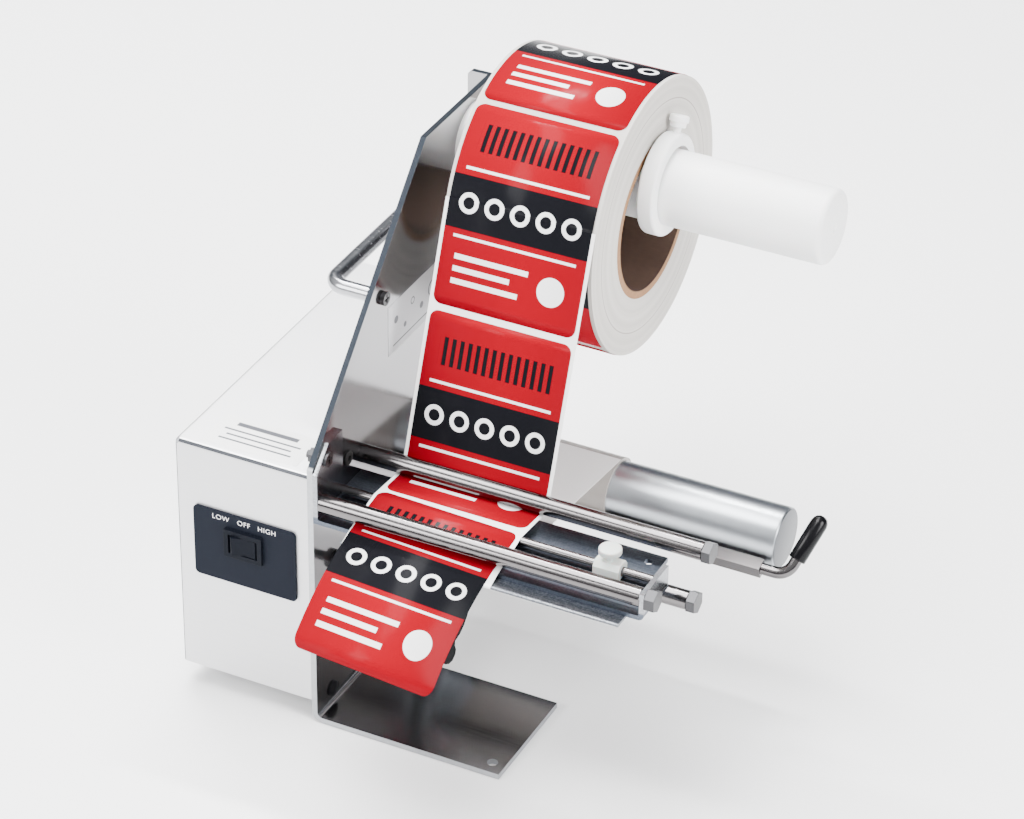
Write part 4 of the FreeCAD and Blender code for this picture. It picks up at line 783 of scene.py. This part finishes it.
def label(name, back, front, lay, body, sources=(), corners=(True, True), skew=0.0):
    """A label between two distances; lay gives place, label side and print for a flat point."""
    shape = bmesh.new()
    flat = [shape.verts.new((x, s, 0)) for x, s in (
        (-half_across, back), (half_across, back), (half_across, front), (-half_across, front))]
    shape.faces.new(flat)
    soft_corners = flat[:2] * corners[0] + flat[2:] * corners[1]
    if soft_corners:
        bmesh.ops.bevel(shape, geom=soft_corners, offset=corner_r, segments=8, profile=0.5,
                        affect="VERTICES", material=-1)
    crosswise = Vector((math.sin(skew), math.cos(skew), 0))
    s = back - slice_margin
    while s < front + slice_margin:
        bmesh.ops.bisect_plane(shape, geom=shape.verts[:] + shape.edges[:] + shape.faces[:],
                               plane_co=crosswise * s, plane_no=crosswise, dist=0.00001)
        s += slice_length
    layer = shape.loops.layers.uv.new("print")
    laid = {vert: lay(vert.co.x, vert.co.y) for vert in shape.verts}
    for face in shape.faces:
        for corner in face.loops:
            corner[layer].uv = (corner.vert.co.x / half_across / 2 + 0.5, laid[corner.vert][2])
    for vert, (place, lift, _) in laid.items():
        vert.co = place + lift * label_lift
    bmesh.ops.recalc_face_normals(shape, faces=shape.faces)
    some = shape.faces[:][0]
    if some.normal.dot(laid[some.verts[0]][1]) < 0:
        bmesh.ops.reverse_faces(shape, faces=shape.faces)
    made = finished(name, shape, stock, 0, body, 40, sources)
    card = made.modifiers.new("paper", "SOLIDIFY")
    card.thickness = -label_thick
    card.offset = -1


def straight(whole_back):
    """Lay a label square on the web, its print starting at whole_back."""
    def lay(across, s):
        point, normal = on_way(s)
        return (Vector((across_middle + across, point.x, point.y)),
                Vector((0, normal.x, normal.y)), (s - whole_back) / length)
    return lay


# The label being given out has come a little askew: its outline is turned in plan about a
# point over the bracket, and each of its points lies on the web's way where it passes.
askew = math.radians(2.5)
given_rear = 0.0206
given_front = 0.0853
given_print = 0.0855


def plan_distance(y):
    """Distance along the web at which it passes y, in front of the upper rod."""
    first = ends[1][0]
    i = next((n for n in range(first, len(steps) - 2) if steps[n + 1][0].x <= y), len(steps) - 2)
    share = (y - steps[i][0].x) / (steps[i + 1][0].x - steps[i][0].x)
    return reach[i] + share * (reach[i + 1] - reach[i])


def lay_given(across, along):
    x = across_middle + across * math.cos(askew) - along * math.sin(askew)
    y = given_rear - across * math.sin(askew) - along * math.cos(askew)
    s = plan_distance(y)
    point, normal = on_way(s)
    return (Vector((x, point.x, point.y)), Vector((0, normal.x, normal.y)),
            along / given_print)


label("label_given_out", 0.0, given_front, lay_given, "machine", ["dispensed_label"],
      (True, True), askew)
front = along_span(1, 0.73)
back = along_span(0, 0.415)
label("label_on_web", back, front, straight(front - length), "machine", ["web_labels"])
front = along_span(0, 0.39)
label("label_leaving_roll", -seam, front, straight(front - length), "machine", (),
      (False, True))
label("label_leaving_roll_wound", front - length, -seam / 2, straight(front - length), "roll",
      (), (True, False))
count = 0
back = front - length - label_gap
end_gap, shortest_label = 0.0005, 0.004
end = -math.tau * roll_r + end_gap
while back > end + shortest_label:
    count += 1
    whole = back - length
    label("label_wound_%d" % count, max(whole, end), back, straight(whole), "roll", (),
          (whole > end, True))
    back = whole - label_gap

# Two stickers of film, stuck on: a grey one on the side plate and a white one on the case. The
# marks on them are plain: dots, rings and a line on the first, bars on the second.
film, start, shader = finish("sticker_film", (0.88, 0.88, 0.87), 0, 0.5)
low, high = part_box("path_sticker")
y = (start.axis(1) - low.y) * (1 / (high.y - low.y))
z = (start.axis(2) - low.z) * (1 / (high.y - low.y))
marks = None
for at_y, at_z, inner, outer in ((0.14, 0.30, -1, 0.036), (0.30, 0.17, -1, 0.026),
                                 (0.44, 0.33, 0.024, 0.036), (0.60, 0.20, -1, 0.032),
                                 (0.80, 0.27, 0.062, 0.078), (0.80, 0.27, -1, 0.024)):
    off_y = y - at_y
    off_z = z - at_z
    far = length_of(off_y, off_z)
    spot = 1 - far.step(outer, 0.003)
    spot = spot * far.step(inner, 0.003) if inner > 0 else spot
    marks = spot if marks is None else marks + spot
marks = marks + z.between(0.06, 0.075, 0.002) * y.between(0.08, 0.92, 0.003)
on_plate = start.axis(2).step(0.16, 0.001)
low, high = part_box("notice_sticker")
x = (start.axis(0) - low.x) * (1 / (high.x - low.x))
depth = (start.axis(1) - low.y) * (1 / (high.y - low.y))
bars = depth.between(0.72, 0.84, 0.01) * x.between(0.18, 0.82, 0.004)
for at, left, right in ((0.54, 0.10, 0.90), (0.38, 0.16, 0.84), (0.22, 0.12, 0.88)):
    bars = bars + depth.between(at, at + 0.05, 0.01) * x.between(left, right, 0.004)
marks = marks * on_plate + bars * (1 - on_plate)
feed(shader, Roughness=noise(start, 300.0) * 0.15 + 0.42,
     Base_Color=mix(marks.math("MINIMUM", 1.0), mix(on_plate, (0.88, 0.88, 0.87),
                                                    (0.50, 0.50, 0.52)), (0.05, 0.053, 0.065)))
for word in ("path_sticker", "notice_sticker"):
    dressed(word + "_marked", word, film)
